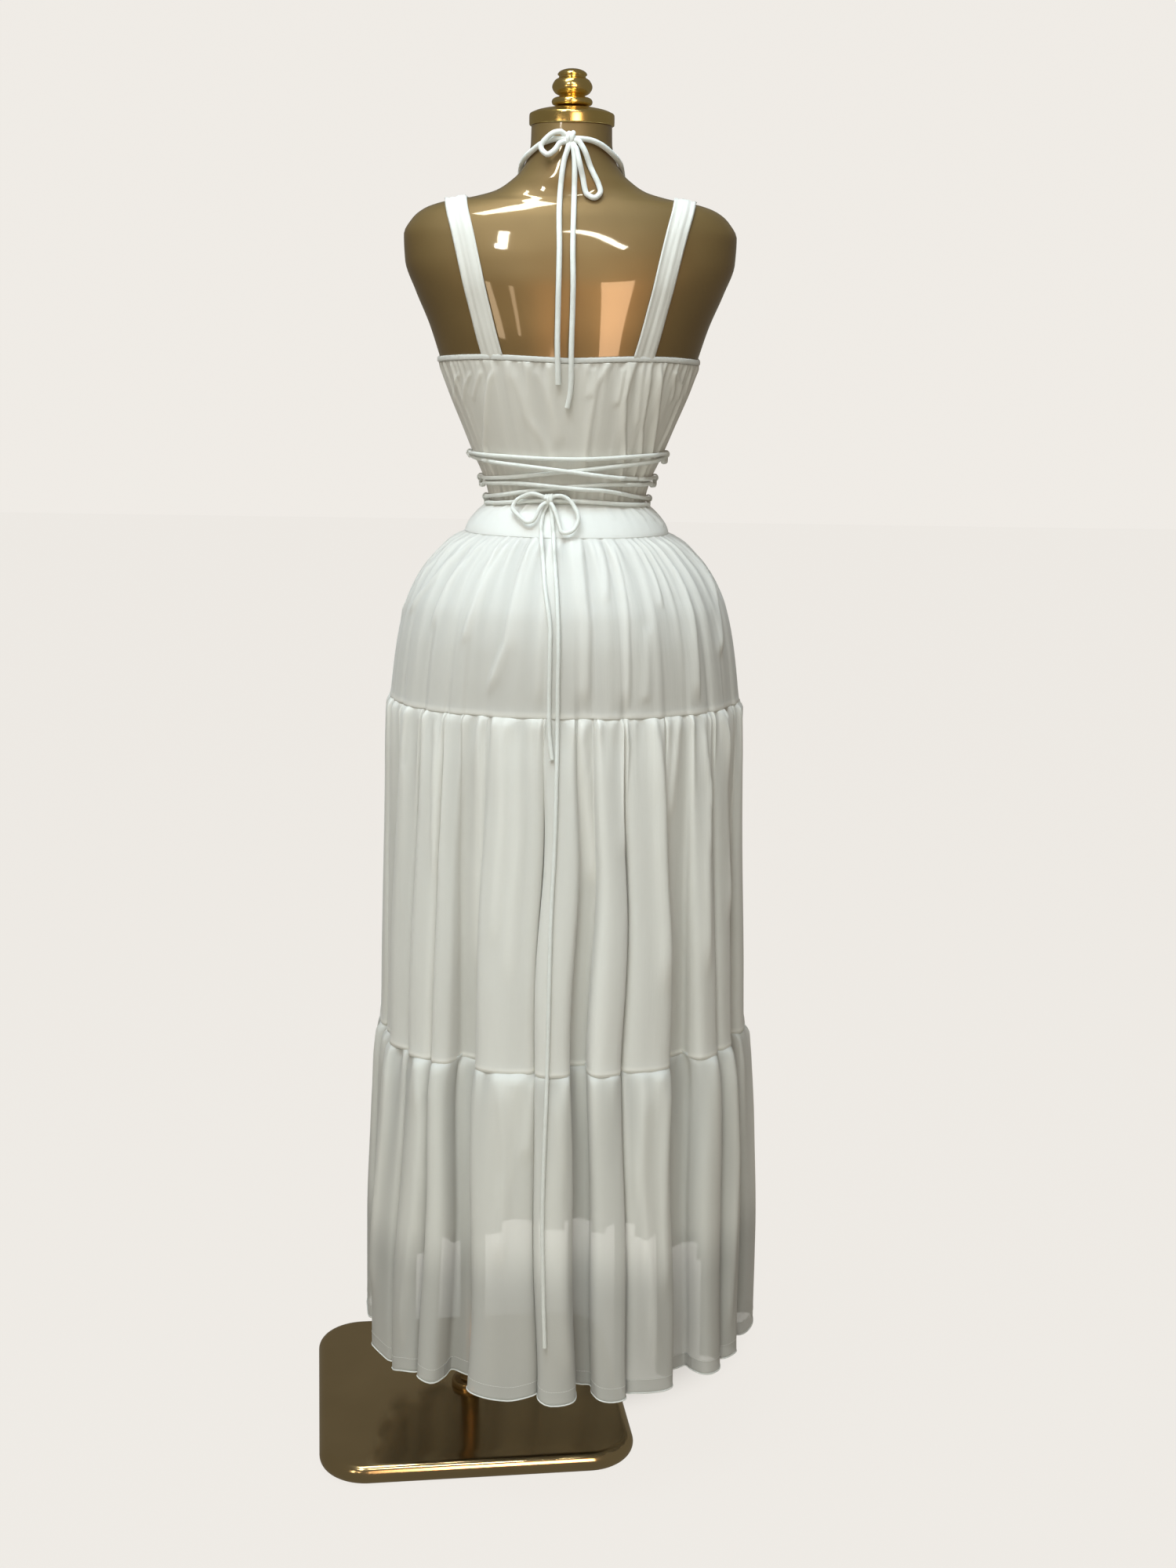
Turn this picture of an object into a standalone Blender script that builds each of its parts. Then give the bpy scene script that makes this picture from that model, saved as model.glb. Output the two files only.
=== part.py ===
"""A tiered maxi dress on a dress form with no limbs, its pole and its square foot plate.

Metres, +Z up. The origin is under the foot plate, on the pole's axis. The dress faces -Y and its laced back
faces +Y, so the wearer's left is +X. The form's midline stands beside the pole, at FORM_X and FORM_Y.
Angles round the dress run from the centre back: +90 degrees is the right side seam, 180 the centre front.
"""

import math

import bmesh
import bpy
from mathutils import Vector
from mathutils.bvhtree import BVHTree

# ---------------------------------------------------------------- driving sizes
FORM_X = -0.117
FORM_Y = -0.028
CLOTH = 0.0012
FORM_COLUMNS = 40
BODICE_COLUMNS = 21
TIER1_COLUMNS = 27
LINING_COLUMNS = 17
SEAM_GAP = 0.0003
BODY_EASE = 0.0020
FRONT_EASE = 0.0040
ROUNDNESS = 2.25

WAIST_Z = 1.2100
YOKE_SEAM_Z = 1.1710
TIER1_SEAM_Z = 0.9650
TIER2_SEAM_Z = 0.5440
HEM_Z = 0.1360
LINING_HEM_Z = 0.3200
BACK_EDGE_Z = 1.3760
BINDING_HEIGHT = 0.0064
BINDING_THICK = 0.0030
STRAP_WIDTH = 0.0260
STRAP_STEP = 0.0130

BUST_Z = 1.3650
BUST_RISE = 0.0300
BUST_HALF_HEIGHT = 0.0620
BUST_ANGLE = 149.0
BUST_SPREAD = 21.0
SPINE_DEPTH = 0.0035
SPINE_SPREAD = 9.0

NECK_CORD = 0.0065
LACE = 0.0050
LOOP_THREAD = 0.0022
LOOP_RADIUS = 0.0048
LOOP_CLEAR = 0.0012
TOUCH = 0.0004
CORD_STEP = 2.9
TAIL_REACH = 0.0120

PLATE_SIDE = 0.4030
PLATE_THICK = 0.0260
PLATE_CORNER = 0.0620
PLATE_TURN = math.radians(7.6)
POLE_RADIUS = 0.0125
POLE_COLLAR_RADIUS = 0.0240
POLE_COLLAR_HEIGHT = 0.0100
SOCKET_RADIUS = 0.0190
SOCKET_BOTTOM_Z = 0.7750
SOCKET_GAP = 0.0009

# The form: height, half width, depth to the back, depth to the front, place of the side line.
FORM = (
    (0.8120, 0.0700, 0.0560, 0.0540, 0.0),
    (0.8170, 0.1120, 0.0850, 0.0780, 0.0),
    (0.8320, 0.1430, 0.1050, 0.0930, 0.0),
    (0.8630, 0.1630, 0.1170, 0.1030, 0.0),
    (0.9200, 0.1770, 0.1270, 0.1070, 0.0),
    (0.9800, 0.1840, 0.1340, 0.1060, 0.0),
    (1.0400, 0.1850, 0.1340, 0.1020, 0.0),
    (1.0900, 0.1730, 0.1220, 0.0970, 0.0),
    (1.1300, 0.1510, 0.1040, 0.0910, 0.0),
    (1.1550, 0.1310, 0.0910, 0.0870, 0.0),
    (1.1750, 0.1160, 0.0820, 0.0830, 0.0),
    (1.1950, 0.1010, 0.0750, 0.0790, 0.0),
    (1.2110, 0.0925, 0.0720, 0.0770, 0.0),
    (1.2350, 0.0985, 0.0730, 0.0790, 0.0),
    (1.2650, 0.1120, 0.0770, 0.0860, 0.0),
    (1.3000, 0.1265, 0.0840, 0.0960, 0.0),
    (1.3400, 0.1430, 0.0910, 0.1020, 0.0),
    (1.3760, 0.1555, 0.0960, 0.1000, 0.0),
    (1.4200, 0.1700, 0.1000, 0.0920, 0.0),
    (1.4600, 0.1870, 0.1000, 0.0820, 0.0),
    (1.4950, 0.1995, 0.0940, 0.0720, 0.0),
    (1.5250, 0.2010, 0.0840, 0.0620, 0.0),
    (1.5450, 0.1900, 0.0740, 0.0540, 0.0),
    (1.5560, 0.1760, 0.0660, 0.0480, 0.0),
    (1.5635, 0.1550, 0.0600, 0.0440, 0.0),
    (1.5700, 0.1180, 0.0560, 0.0420, 0.0),
    (1.5780, 0.0900, 0.0540, 0.0430, 0.0),
    (1.5880, 0.0740, 0.0530, 0.0450, 0.0),
    (1.6000, 0.0610, 0.0520, 0.0470, -0.0020),
    (1.6150, 0.0530, 0.0500, 0.0490, -0.0050),
    (1.6320, 0.0490, 0.0490, 0.0490, -0.0090),
    (1.6540, 0.0485, 0.0490, 0.0490, -0.0140),
)

# Turned pieces on the neck: radius, height above the seat.
NECK_CAP = (
    (0.0490, 0.0),
    (0.0512, 0.0020),
    (0.0512, 0.0125),
    (0.0490, 0.0150),
    (0.0400, 0.0185),
    (0.0250, 0.0215),
    (0.0165, 0.0225),
)
FINIAL = (
    (0.0170, 0.0),
    (0.0232, 0.0020),
    (0.0245, 0.0060),
    (0.0215, 0.0095),
    (0.0150, 0.0115),
    (0.0205, 0.0150),
    (0.0238, 0.0200),
    (0.0238, 0.0245),
    (0.0205, 0.0300),
    (0.0165, 0.0325),
    (0.0160, 0.0345),
    (0.0178, 0.0365),
    (0.0150, 0.0400),
    (0.0090, 0.0425),
    (0.0030, 0.0435),
)

# The skirt's outer face between folds: height, half width, depth to the back, depth to the front.
SKIRT = (
    (1.1710, 0.1262, 0.0925, 0.0935),
    (1.1590, 0.1450, 0.1080, 0.1040),
    (1.1470, 0.1580, 0.1190, 0.1110),
    (1.1300, 0.1740, 0.1320, 0.1180),
    (1.1070, 0.1890, 0.1460, 0.1250),
    (1.0800, 0.2010, 0.1560, 0.1310),
    (1.0400, 0.2105, 0.1640, 0.1370),
    (1.0000, 0.2165, 0.1710, 0.1440),
    (0.9650, 0.2205, 0.1770, 0.1510),
    (0.9000, 0.2260, 0.1870, 0.1620),
    (0.7800, 0.2310, 0.2020, 0.1780),
    (0.6500, 0.2355, 0.2180, 0.1930),
    (0.5440, 0.2385, 0.2290, 0.2040),
    (0.5000, 0.2450, 0.2360, 0.2100),
    (0.4000, 0.2530, 0.2470, 0.2190),
    (0.2700, 0.2590, 0.2570, 0.2270),
    (0.1360, 0.2600, 0.2640, 0.2330),
)

# The lining's outer face: height, half width, depth to the back, depth to the front.
LINING = (
    (1.1690, 0.1245, 0.0912, 0.0922),
    (1.1480, 0.1415, 0.1010, 0.0960),
    (1.1150, 0.1675, 0.1200, 0.1020),
    (1.0650, 0.1860, 0.1370, 0.1090),
    (1.0100, 0.1900, 0.1400, 0.1120),
    (0.9000, 0.1880, 0.1400, 0.1160),
    (0.6500, 0.1760, 0.1420, 0.1260),
    (LINING_HEM_Z, 0.1640, 0.1440, 0.1320),
)

# Folds of the two lower tiers, in degrees and metres: place of the crown, half width, height of the crown
# at the hem.
BACK_FOLDS = (
    (-82.0, 7.0, 0.022),
    (-69.0, 5.0, 0.018),
    (-55.5, 7.0, 0.034),
    (-42.0, 5.5, 0.040),
    (-33.0, 3.5, 0.040),
    (-13.0, 9.0, 0.042),
    (-0.5, 4.0, 0.050),
    (12.0, 4.5, 0.048),
    (24.0, 7.5, 0.040),
    (46.0, 5.5, 0.036),
    (57.5, 5.0, 0.032),
    (78.0, 7.0, 0.028),
)
FRONT_FOLDS = (
    (98.0, 7.0, 0.022),
    (114.0, 6.5, 0.032),
    (131.0, 7.5, 0.036),
    (146.0, 4.5, 0.042),
    (161.0, 7.5, 0.038),
    (176.0, 5.0, 0.044),
    (192.0, 8.0, 0.040),
    (209.0, 6.0, 0.042),
    (225.0, 7.0, 0.034),
    (242.0, 6.0, 0.036),
    (260.0, 8.0, 0.024),
)
FOLD_SINK = 0.018  # how far the cloth between folds sinks below the skirt's face at the hem
FLAT_TOP = 0.55  # the share of a fold's half width that is level

# How deep the folds are at each height, as a share of their depth at the hem.
FOLD_GROWTH = ((1.1710, 0.0), (1.10, 0.03), (0.9650, 0.10), (0.80, 0.42), (0.5440, 0.85), (0.1360, 1.0))

# The bodice's top edge: angle from the centre back, height.
TOP_EDGE = (
    (0.0, 1.3760),
    (32.0, 1.3790),
    (90.0, 1.3750),
    (118.0, 1.3900),
    (138.0, 1.4230),
    (150.0, 1.4180),
    (180.0, 1.3790),
)

# Each strap: the side from which it is seen, its distance from the midline, then its height or, on top, its y.
STRAP_ROUTE = (
    ("back", 0.0898, 1.3868),
    ("back", 0.0980, 1.4150),
    ("back", 0.1070, 1.4500),
    ("back", 0.1155, 1.4850),
    ("back", 0.1240, 1.5200),
    ("back", 0.1310, 1.5450),
    ("top", 0.1360, 0.0260),
    ("top", 0.1380, 0.0100),
    ("top", 0.1370, -0.0080),
    ("top", 0.1345, -0.0230),
    ("front", 0.1300, 1.5350),
    ("front", 0.1220, 1.5050),
    ("front", 0.1140, 1.4750),
    ("front", 0.1060, 1.4500),
    ("front", 0.1010, 1.4330),
)

# Cords, each a list of its route's points: distance from the midline, height, how many cords it lies over.
NECK_TIE = {
    "neck_loop_left": (
        (0.0120, 1.6425, 1), (0.0205, 1.6410, 1.3), (0.0290, 1.6340, 1.6), (0.0330, 1.6240, 1.6),
        (0.0280, 1.6160, 1.6), (0.0200, 1.6200, 1.3), (0.0130, 1.6290, 1.2),
    ),
    "neck_loop_right": (
        (-0.0100, 1.6310, 1), (-0.0170, 1.6190, 1), (-0.0240, 1.6010, 0), (-0.0330, 1.5830, 0),
        (-0.0350, 1.5720, 0), (-0.0270, 1.5670, 0), (-0.0185, 1.5730, 0), (-0.0145, 1.5900, 0),
        (-0.0105, 1.6060, 1), (-0.0065, 1.6220, 1),
    ),
    "neck_tail_left": (
        (0.0035, 1.6240, 0), (0.0090, 1.6030, 0), (0.0125, 1.5600, 0), (0.0115, 1.5050, 0),
        (0.0120, 1.4500, 0),
        (0.0124, 1.3980, 0), (0.0110, 1.3520, 0),
    ),
    "neck_tail_right": (
        (-0.0030, 1.6235, 0), (-0.0048, 1.6030, 0), (-0.0045, 1.5600, 0), (-0.0042, 1.5100, 0),
        (-0.0052, 1.4600, 0), (-0.0041, 1.3980, 0), (-0.0038, 1.3480, 0), (0.0000, 1.3250, 0),
    ),
}
# Each neck cord from the bodice's front, past the collarbone and round the neck: angle from the centre
# back, height.
NECK_ROUND = (
    (159.0, 1.4220),
    (159.0, 1.4550),
    (160.0, 1.4900),
    (161.0, 1.5300),
    (158.0, 1.5620),
    (142.0, 1.5760),
    (130.0, 1.5860),
    (106.0, 1.6020),
    (84.0, 1.6110),
    (62.0, 1.6195),
    (40.0, 1.6290),
    (22.0, 1.6340),
)
NECK_KNOT_PLACE = (0.0013, 1.6350)
NECK_KNOT_SIZE = (0.0065, 0.0055, 0.0070)

WAIST_LACE = {
    "lace_a": (
        (0.1010, 1.2668, 0), (0.0800, 1.2660, 0), (0.0400, 1.2645, 0), (0.0000, 1.2640, 0),
        (-0.0400, 1.2650, 0),
        (-0.0800, 1.2678, 0), (-0.1025, 1.2690, 0),
    ),
    "lace_b_down": (
        (0.0970, 1.2605, 0), (0.0700, 1.2570, 1), (0.0300, 1.2530, 1), (-0.0100, 1.2485, 1),
        (-0.0500, 1.2435, 1),
        (-0.0800, 1.2400, 0), (-0.0915, 1.2392, 0),
    ),
    "lace_b_up": (
        (-0.0980, 1.2615, 0), (-0.0720, 1.2575, 0), (-0.0300, 1.2525, 0), (0.0100, 1.2480, 0),
        (0.0500, 1.2430, 0),
        (0.0760, 1.2395, 0), (0.0900, 1.2382, 0),
    ),
    "lace_c_down": (
        (0.0895, 1.2310, 0), (0.0650, 1.2335, 0), (0.0300, 1.2325, 1), (-0.0100, 1.2290, 1),
        (-0.0480, 1.2265, 1),
        (-0.0740, 1.2195, 0), (-0.0862, 1.2165, 0),
    ),
    "lace_c_up": (
        (-0.0905, 1.2320, 0), (-0.0640, 1.2340, 0), (-0.0250, 1.2325, 0), (0.0150, 1.2290, 0),
        (0.0520, 1.2240, 0),
        (0.0720, 1.2190, 0), (0.0855, 1.2160, 0),
    ),
    "lace_d_left": ((0.0850, 1.2075, 0), (0.0680, 1.2100, 0), (0.0460, 1.2130, 0), (0.0300, 1.2145, 0)),
    "lace_d_right": ((0.0125, 1.2145, 0), (-0.0150, 1.2140, 0), (-0.0450, 1.2120, 0), (-0.0700, 1.2095, 0),
                     (-0.0855, 1.2080, 0)),
    "lace_bow_left": (
        (0.0300, 1.2200, 1), (0.0400, 1.2225, 1), (0.0540, 1.2175, 1), (0.0600, 1.2050, 1),
        (0.0530, 1.1930, 1),
        (0.0430, 1.1890, 1), (0.0355, 1.1970, 1), (0.0305, 1.2080, 1),
    ),
    "lace_bow_right": (
        (0.0125, 1.2205, 1), (0.0000, 1.2185, 1), (-0.0105, 1.2070, 1), (-0.0150, 1.1930, 1),
        (-0.0085, 1.1810, 1),
        (0.0035, 1.1780, 1), (0.0090, 1.1890, 1), (0.0120, 1.2000, 1), (0.0160, 1.2085, 1),
    ),
    "lace_tail_short": (
        (0.0238, 1.2080, 0), (0.0280, 1.1985, 0), (0.0298, 1.1830, 0), (0.0288, 1.1700, 0),
        (0.0270, 1.1550, 0),
        (0.0252, 1.1380, 0), (0.0228, 1.1150, 0), (0.0165, 1.0770, 0), (0.0160, 1.0440, 0),
        (0.0160, 0.9615, 0),
        (0.0120, 0.9190, 0),
    ),
    "lace_tail_long": (
        (0.0185, 1.2075, 0), (0.0170, 1.1980, 0), (0.0155, 1.1830, 0), (0.0142, 1.1700, 0),
        (0.0130, 1.1550, 0),
        (0.0115, 1.1380, 0), (0.0092, 1.1150, 0), (0.0068, 1.0770, 0), (0.0060, 1.0440, 0),
        (0.0062, 0.9960, 0),
        (0.0060, 0.9280, 0), (0.0072, 0.8240, 0), (0.0107, 0.7180, 0), (0.0126, 0.5460, 0),
        (0.0159, 0.3970, 0),
        (0.0138, 0.2830, 0), (0.0112, 0.2140, 0),
    ),
}
WAIST_KNOT_PLACE = (0.0212, 1.2155)
WAIST_KNOT_SIZE = (0.0068, 0.0055, 0.0062)

# The thread loops on the side seams, from the top: their heights on the left and on the right.
LACE_LOOPS = ((1.2660, 1.2675), (1.2365, 1.2385), (1.2125, 1.2130))

COLOURS = {
    "bronze coat": ((0.36, 0.215, 0.062), 0.28, 0.75),
    "polished gold": ((0.62, 0.42, 0.12), 0.12, 1.0),
    "opaque cloth": ((0.86, 0.865, 0.85), 0.85, 0.0),
    "sheer cloth": ((0.82, 0.82, 0.79), 0.85, 0.0),
    "tube cord": ((0.87, 0.87, 0.84), 0.8, 0.0),
}


# ---------------------------------------------------------------- helpers
def clear_scene():
    for old in list(bpy.data.objects):
        bpy.data.objects.remove(old, do_unlink=True)


def finish_material(name):
    found = bpy.data.materials.get(name)
    if found:
        return found
    colour, roughness, metallic = COLOURS[name]
    made = bpy.data.materials.new(name)
    made.use_nodes = True
    shader = made.node_tree.nodes["Principled BSDF"]
    shader.inputs["Base Color"].default_value = (*colour, 1.0)
    shader.inputs["Roughness"].default_value = roughness
    shader.inputs["Metallic"].default_value = metallic
    return made


def add_object(name, data, finish, parent):
    made = bpy.data.objects.new(name, data)
    bpy.context.scene.collection.objects.link(made)
    made.data.materials.append(finish_material(finish))
    made.parent = parent
    return made


def mesh_from(name, points, faces):
    """A mesh with its faces turned outwards, shaded smooth up to sharp edges."""
    mesh = bpy.data.meshes.new(name)
    mesh.from_pydata([tuple(p) for p in points], [], faces)
    work = bmesh.new()
    work.from_mesh(mesh)
    bmesh.ops.recalc_face_normals(work, faces=work.faces)
    work.to_mesh(mesh)
    work.free()
    mesh.shade_smooth()
    mesh.set_sharp_from_angle(angle=math.radians(50))
    return mesh


def row_at(table, height):
    """A table's row at any height, by a smooth curve through its rows that never overshoots."""
    rows = sorted(table)
    if height <= rows[0][0]:
        return rows[0][1:]
    if height >= rows[-1][0]:
        return rows[-1][1:]
    upper = next(i for i, row in enumerate(rows) if row[0] >= height)
    below, above = rows[upper - 1], rows[upper]
    step = above[0] - below[0]
    t = (height - below[0]) / step
    values = []
    for column in range(1, len(below)):
        rise = (above[column] - below[column]) / step
        slopes = []
        for index in (upper - 1, upper):
            before, after = rows[max(index - 1, 0)], rows[min(index + 1, len(rows) - 1)]
            left = (rows[index][column] - before[column]) / max(rows[index][0] - before[0], 1e-9)
            right = (after[column] - rows[index][column]) / max(after[0] - rows[index][0], 1e-9)
            slopes.append(2 * left * right / (left + right) if left * right > 0 else 0.0)
        if upper == 1:
            slopes[0] = rise
        if upper == len(rows) - 1:
            slopes[1] = rise
        h00, h10 = 2 * t**3 - 3 * t**2 + 1, t**3 - 2 * t**2 + t
        h01, h11 = -2 * t**3 + 3 * t**2, t**3 - t**2
        values.append(
            h00 * below[column] + h10 * step * slopes[0] + h01 * above[column] + h11 * step * slopes[1]
        )
    return tuple(values)


def ring_point(half_width, back, front, side_y, height, angle, out=0.0):
    """A point on a rounded section. The angle runs from the centre back towards -X."""
    across, along = math.sin(angle), math.cos(angle)
    depth = back if along >= 0 else front
    power = 2 / ROUNDNESS
    x = -(half_width + out) * math.copysign(abs(across) ** power, across)
    y = side_y + (depth + out) * math.copysign(abs(along) ** power, along)
    return Vector((x, y, height))


def bump(distance, spread):
    return math.exp(-((distance / spread) ** 2))


def form_point(height, angle, out=0.0):
    """A point on the form: its section, a plain bust and a shallow groove down the spine."""
    degrees = math.degrees(angle) % 360
    rise = BUST_RISE * bump(height - BUST_Z, BUST_HALF_HEIGHT)
    from_front = abs(degrees - 180)
    out += rise * bump(from_front - (180 - BUST_ANGLE), BUST_SPREAD)
    if height < BACK_EDGE_Z + 0.17:
        from_back = min(degrees, 360 - degrees)
        out -= SPINE_DEPTH * bump(from_back, SPINE_SPREAD) * bump(height - BACK_EDGE_Z, 0.12)
    return ring_point(*row_at(FORM, height), height, angle, out)


def fold_height(angle, height):
    """How far the cloth stands out of the skirt's face: level crowns with the cloth sunk between them."""
    degrees = math.degrees(angle)
    growth = row_at(FOLD_GROWTH, height)[0]
    folds = BACK_FOLDS if abs(degrees) <= 90 else FRONT_FOLDS
    degrees = degrees if abs(degrees) <= 90 else degrees % 360
    highest = 0.0
    for crown, half_width, depth in folds:
        away = abs(degrees - crown) / half_width
        if away >= 1:
            continue
        slope = min(1.0, (1 - away) / (1 - FLAT_TOP))
        highest = max(highest, depth * (3 * slope**2 - 2 * slope**3))
    return growth * (highest - FOLD_SINK)


def skirt_point(height, angle, out=0.0):
    section = row_at(SKIRT, height)
    return ring_point(*section, 0.0, height, angle, out + fold_height(angle, height))


def even_angles(side, count):
    middle = 0.0 if side == "back" else math.pi
    return [middle + math.pi * (i / (count - 1) - 0.5) for i in range(count)]


def fold_angles(side):
    """Angles at each fold's two feet, the two ends of its level crown and, on a wide fold, its middle."""
    folds, low, high = (BACK_FOLDS, -90, 90) if side == "back" else (FRONT_FOLDS, 90, 270)
    marks = {low, high}
    for crown, half_width, _ in folds:
        marks |= {crown - half_width, crown - FLAT_TOP * half_width}
        marks |= {crown + half_width, crown + FLAT_TOP * half_width}
        if half_width > 6:
            marks.add(crown)
    kept = []
    for mark in sorted(m for m in marks if low <= m <= high):
        if kept and mark - kept[-1] < 1.8:
            continue
        kept.append(mark)
    if high - kept[-1] > 0:
        kept[-1] = high
    return [math.radians(mark) for mark in kept]


def cloth_panel(name, side, rows, finish, parent):
    """A wall of cloth through rows of points, thickened inwards and drawn back from the side seams."""
    width = len(rows[0])
    shift = SEAM_GAP * 0.6 * (1 if side == "back" else -1)
    points = [Vector((p.x, p.y + shift, p.z)) for row in rows for p in row]
    faces = []
    for r in range(len(rows) - 1):
        for c in range(width - 1):
            first = r * width + c
            faces.append((first, first + 1, first + width + 1, first + width))
    mesh = bpy.data.meshes.new(name)
    mesh.from_pydata([tuple(p) for p in points], [], faces)
    middle = sum(points, Vector()) / len(points)
    sample = mesh.polygons[len(faces) // 2]
    if sample.normal.dot(Vector(sample.center) - Vector((0, -middle.y, middle.z))) < 0:
        mesh.flip_normals()
    mesh.shade_smooth()
    made = add_object(name, mesh, finish, parent)
    wall = made.modifiers.new("wall", "SOLIDIFY")
    wall.thickness = CLOTH
    wall.offset = -1.0
    wall.use_even_offset = False
    return made


def smooth_route(points, spacing):
    """Points read at even spacing from a smooth curve through the route's own points."""
    ends = [points[0] * 2 - points[1], *points, points[-1] * 2 - points[-2]]
    fine = []
    for a, b, c, d in zip(ends, ends[1:], ends[2:], ends[3:]):
        for step in range(24):
            t = step / 24
            straight = 2 * b + (c - a) * t
            curved = (2 * a - 5 * b + 4 * c - d) * t**2 + (3 * b - a - 3 * c + d) * t**3
            fine.append((straight + curved) / 2)
    fine.append(points[-1].copy())
    total = sum((q - p).length for p, q in zip(fine, fine[1:]))
    count = max(3, round(total / spacing))
    kept, run, target = [fine[0]], 0.0, total / count
    for p, q in zip(fine, fine[1:]):
        step = (q - p).length
        while step > 0 and run + step >= target and len(kept) < count:
            kept.append(p.lerp(q, (target - run) / step))
            target += total / count
        run += step
    kept.append(fine[-1])
    return kept


def cord_tube(name, points, diameter, parent):
    """A round cord along points that are already evenly spaced."""
    data = bpy.data.curves.new(name, "CURVE")
    data.dimensions = "3D"
    data.bevel_depth = diameter / 2
    data.bevel_resolution = 2
    data.use_fill_caps = True
    spline = data.splines.new("POLY")
    spline.points.add(len(points) - 1)
    for held, point in zip(spline.points, points):
        held.co = (*point, 1.0)
    return add_object(name, data, "tube cord", parent)


def surface_of(objects):
    """A search tree of the walls as they stand, for laying straps and cords on them."""
    graph = bpy.context.evaluated_depsgraph_get()
    points, faces = [], []
    for obj in objects:
        evaluated = obj.evaluated_get(graph)
        mesh = evaluated.to_mesh()
        start = len(points)
        points += [v.co.copy() for v in mesh.vertices]
        faces += [[start + i for i in face.vertices] for face in mesh.polygons]
        evaluated.to_mesh_clear()
    return BVHTree.FromPolygons(points, faces)


def cover_at(tree, x, height, reach=0.0):
    """The outermost back surface at a place, or within reach of it on either side."""
    found = []
    for dx in (-reach, 0.0, reach):
        hit = tree.ray_cast(Vector((x + dx, 1.0, height)), Vector((0, -1, 0)))
        if hit[0] is not None:
            found.append(hit[0].y)
    return max(found)


def push_clear(points, tree, lift):
    """Moves a cord's points outwards until they, and the middles between them, are a lift from the surface."""
    for _ in range(4):
        for first, second in zip(points, points[1:]):
            middle = (first + second) / 2
            near, normal, _, _ = tree.find_nearest(middle)
            short = lift - (middle - near).dot(normal)
            if 0 < short < 4 * lift:
                first += normal * short
                second += normal * short
        for point in points:
            near, normal, _, _ = tree.find_nearest(point)
            short = lift - (point - near).dot(normal)
            if 0 < short < 4 * lift:
                point += normal * short


# ---------------------------------------------------------------- the form and its stand
def build_form(parent):
    count = FORM_COLUMNS
    heights = [row[0] for row in FORM]
    points, faces = [], []
    for height in heights:
        points += [form_point(height, 2 * math.pi * i / count) for i in range(count)]
    for r in range(len(heights) - 1):
        for i in range(count):
            j = (i + 1) % count
            faces.append((r * count + i, r * count + j, (r + 1) * count + j, (r + 1) * count + i))
    faces.append(tuple(range(count)))
    last = (len(heights) - 1) * count
    faces.append(tuple(range(last, last + count)))
    return add_object("form_torso", mesh_from("form_torso", points, faces), "bronze coat", parent)


def turned(name, profile, sides, finish, parent, place):
    """A turned piece: its profile's points are radius and height, closed on its axis at both ends."""
    work = bmesh.new()
    ways = [2 * math.pi * i / sides for i in range(sides)]
    rings = [
        [work.verts.new((radius * math.cos(way), radius * math.sin(way), z)) for way in ways]
        for radius, z in profile
    ]
    for low, high in zip(rings, rings[1:]):
        for i in range(sides):
            j = (i + 1) % sides
            work.faces.new((low[i], low[j], high[j], high[i]))
    work.faces.new(list(reversed(rings[0])))
    work.faces.new(rings[-1])
    bmesh.ops.recalc_face_normals(work, faces=work.faces)
    mesh = bpy.data.meshes.new(name)
    work.to_mesh(mesh)
    work.free()
    mesh.shade_smooth()
    mesh.set_sharp_from_angle(angle=math.radians(40))
    made = add_object(name, mesh, finish, parent)
    made.location = place
    return made


def build_neck(parent):
    """The gold cap on the neck and the turned finial on it."""
    top = FORM[-1]
    seat = Vector((0, top[4], top[0] + SEAM_GAP))
    turned("neck_cap", NECK_CAP, 28, "polished gold", parent, seat)
    on_cap = seat + Vector((0, 0, NECK_CAP[-1][1] + SEAM_GAP))
    turned("finial", FINIAL, 18, "polished gold", parent, on_cap)


def build_stand():
    """The foot plate with its rounded edge, the pole's collar and pole, and the socket under the form."""
    work = bmesh.new()
    outline = []
    reach = PLATE_SIDE / 2 - PLATE_CORNER
    for corner in range(4):
        middle = Vector((reach if corner in (0, 3) else -reach, reach if corner < 2 else -reach))
        for step in range(7):
            angle = math.pi / 2 * (corner + step / 6)
            outline.append((middle, Vector((math.cos(angle), math.sin(angle)))))
    edge = PLATE_THICK / 2
    rings = []
    for step in range(7):
        angle = math.pi * (step / 6 - 0.5)
        inset = edge * (1 - math.cos(angle))
        z = edge + edge * math.sin(angle)
        radius = PLATE_CORNER - inset
        rings.append([work.verts.new((*(middle + way * radius), z)) for middle, way in outline])
    for low, high in zip(rings, rings[1:]):
        for i in range(len(low)):
            j = (i + 1) % len(low)
            work.faces.new((low[i], low[j], high[j], high[i]))
    work.faces.new(list(reversed(rings[0])))
    work.faces.new(rings[-1])
    bmesh.ops.recalc_face_normals(work, faces=work.faces)
    mesh = bpy.data.meshes.new("base_plate")
    work.to_mesh(mesh)
    work.free()
    mesh.shade_smooth()
    mesh.set_sharp_from_angle(angle=math.radians(30))
    plate = add_object("base_plate", mesh, "polished gold", None)
    plate.rotation_euler = (0, 0, PLATE_TURN)
    foot = PLATE_THICK + SEAM_GAP
    rim = POLE_COLLAR_RADIUS
    collar = ((rim, 0.0), (rim, POLE_COLLAR_HEIGHT * 0.6), (rim - 0.004, POLE_COLLAR_HEIGHT),
              (POLE_RADIUS, POLE_COLLAR_HEIGHT), (POLE_RADIUS, SOCKET_BOTTOM_Z - foot - SEAM_GAP))
    turned("pole", collar, 20, "polished gold", None, (0, 0, foot))


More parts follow.
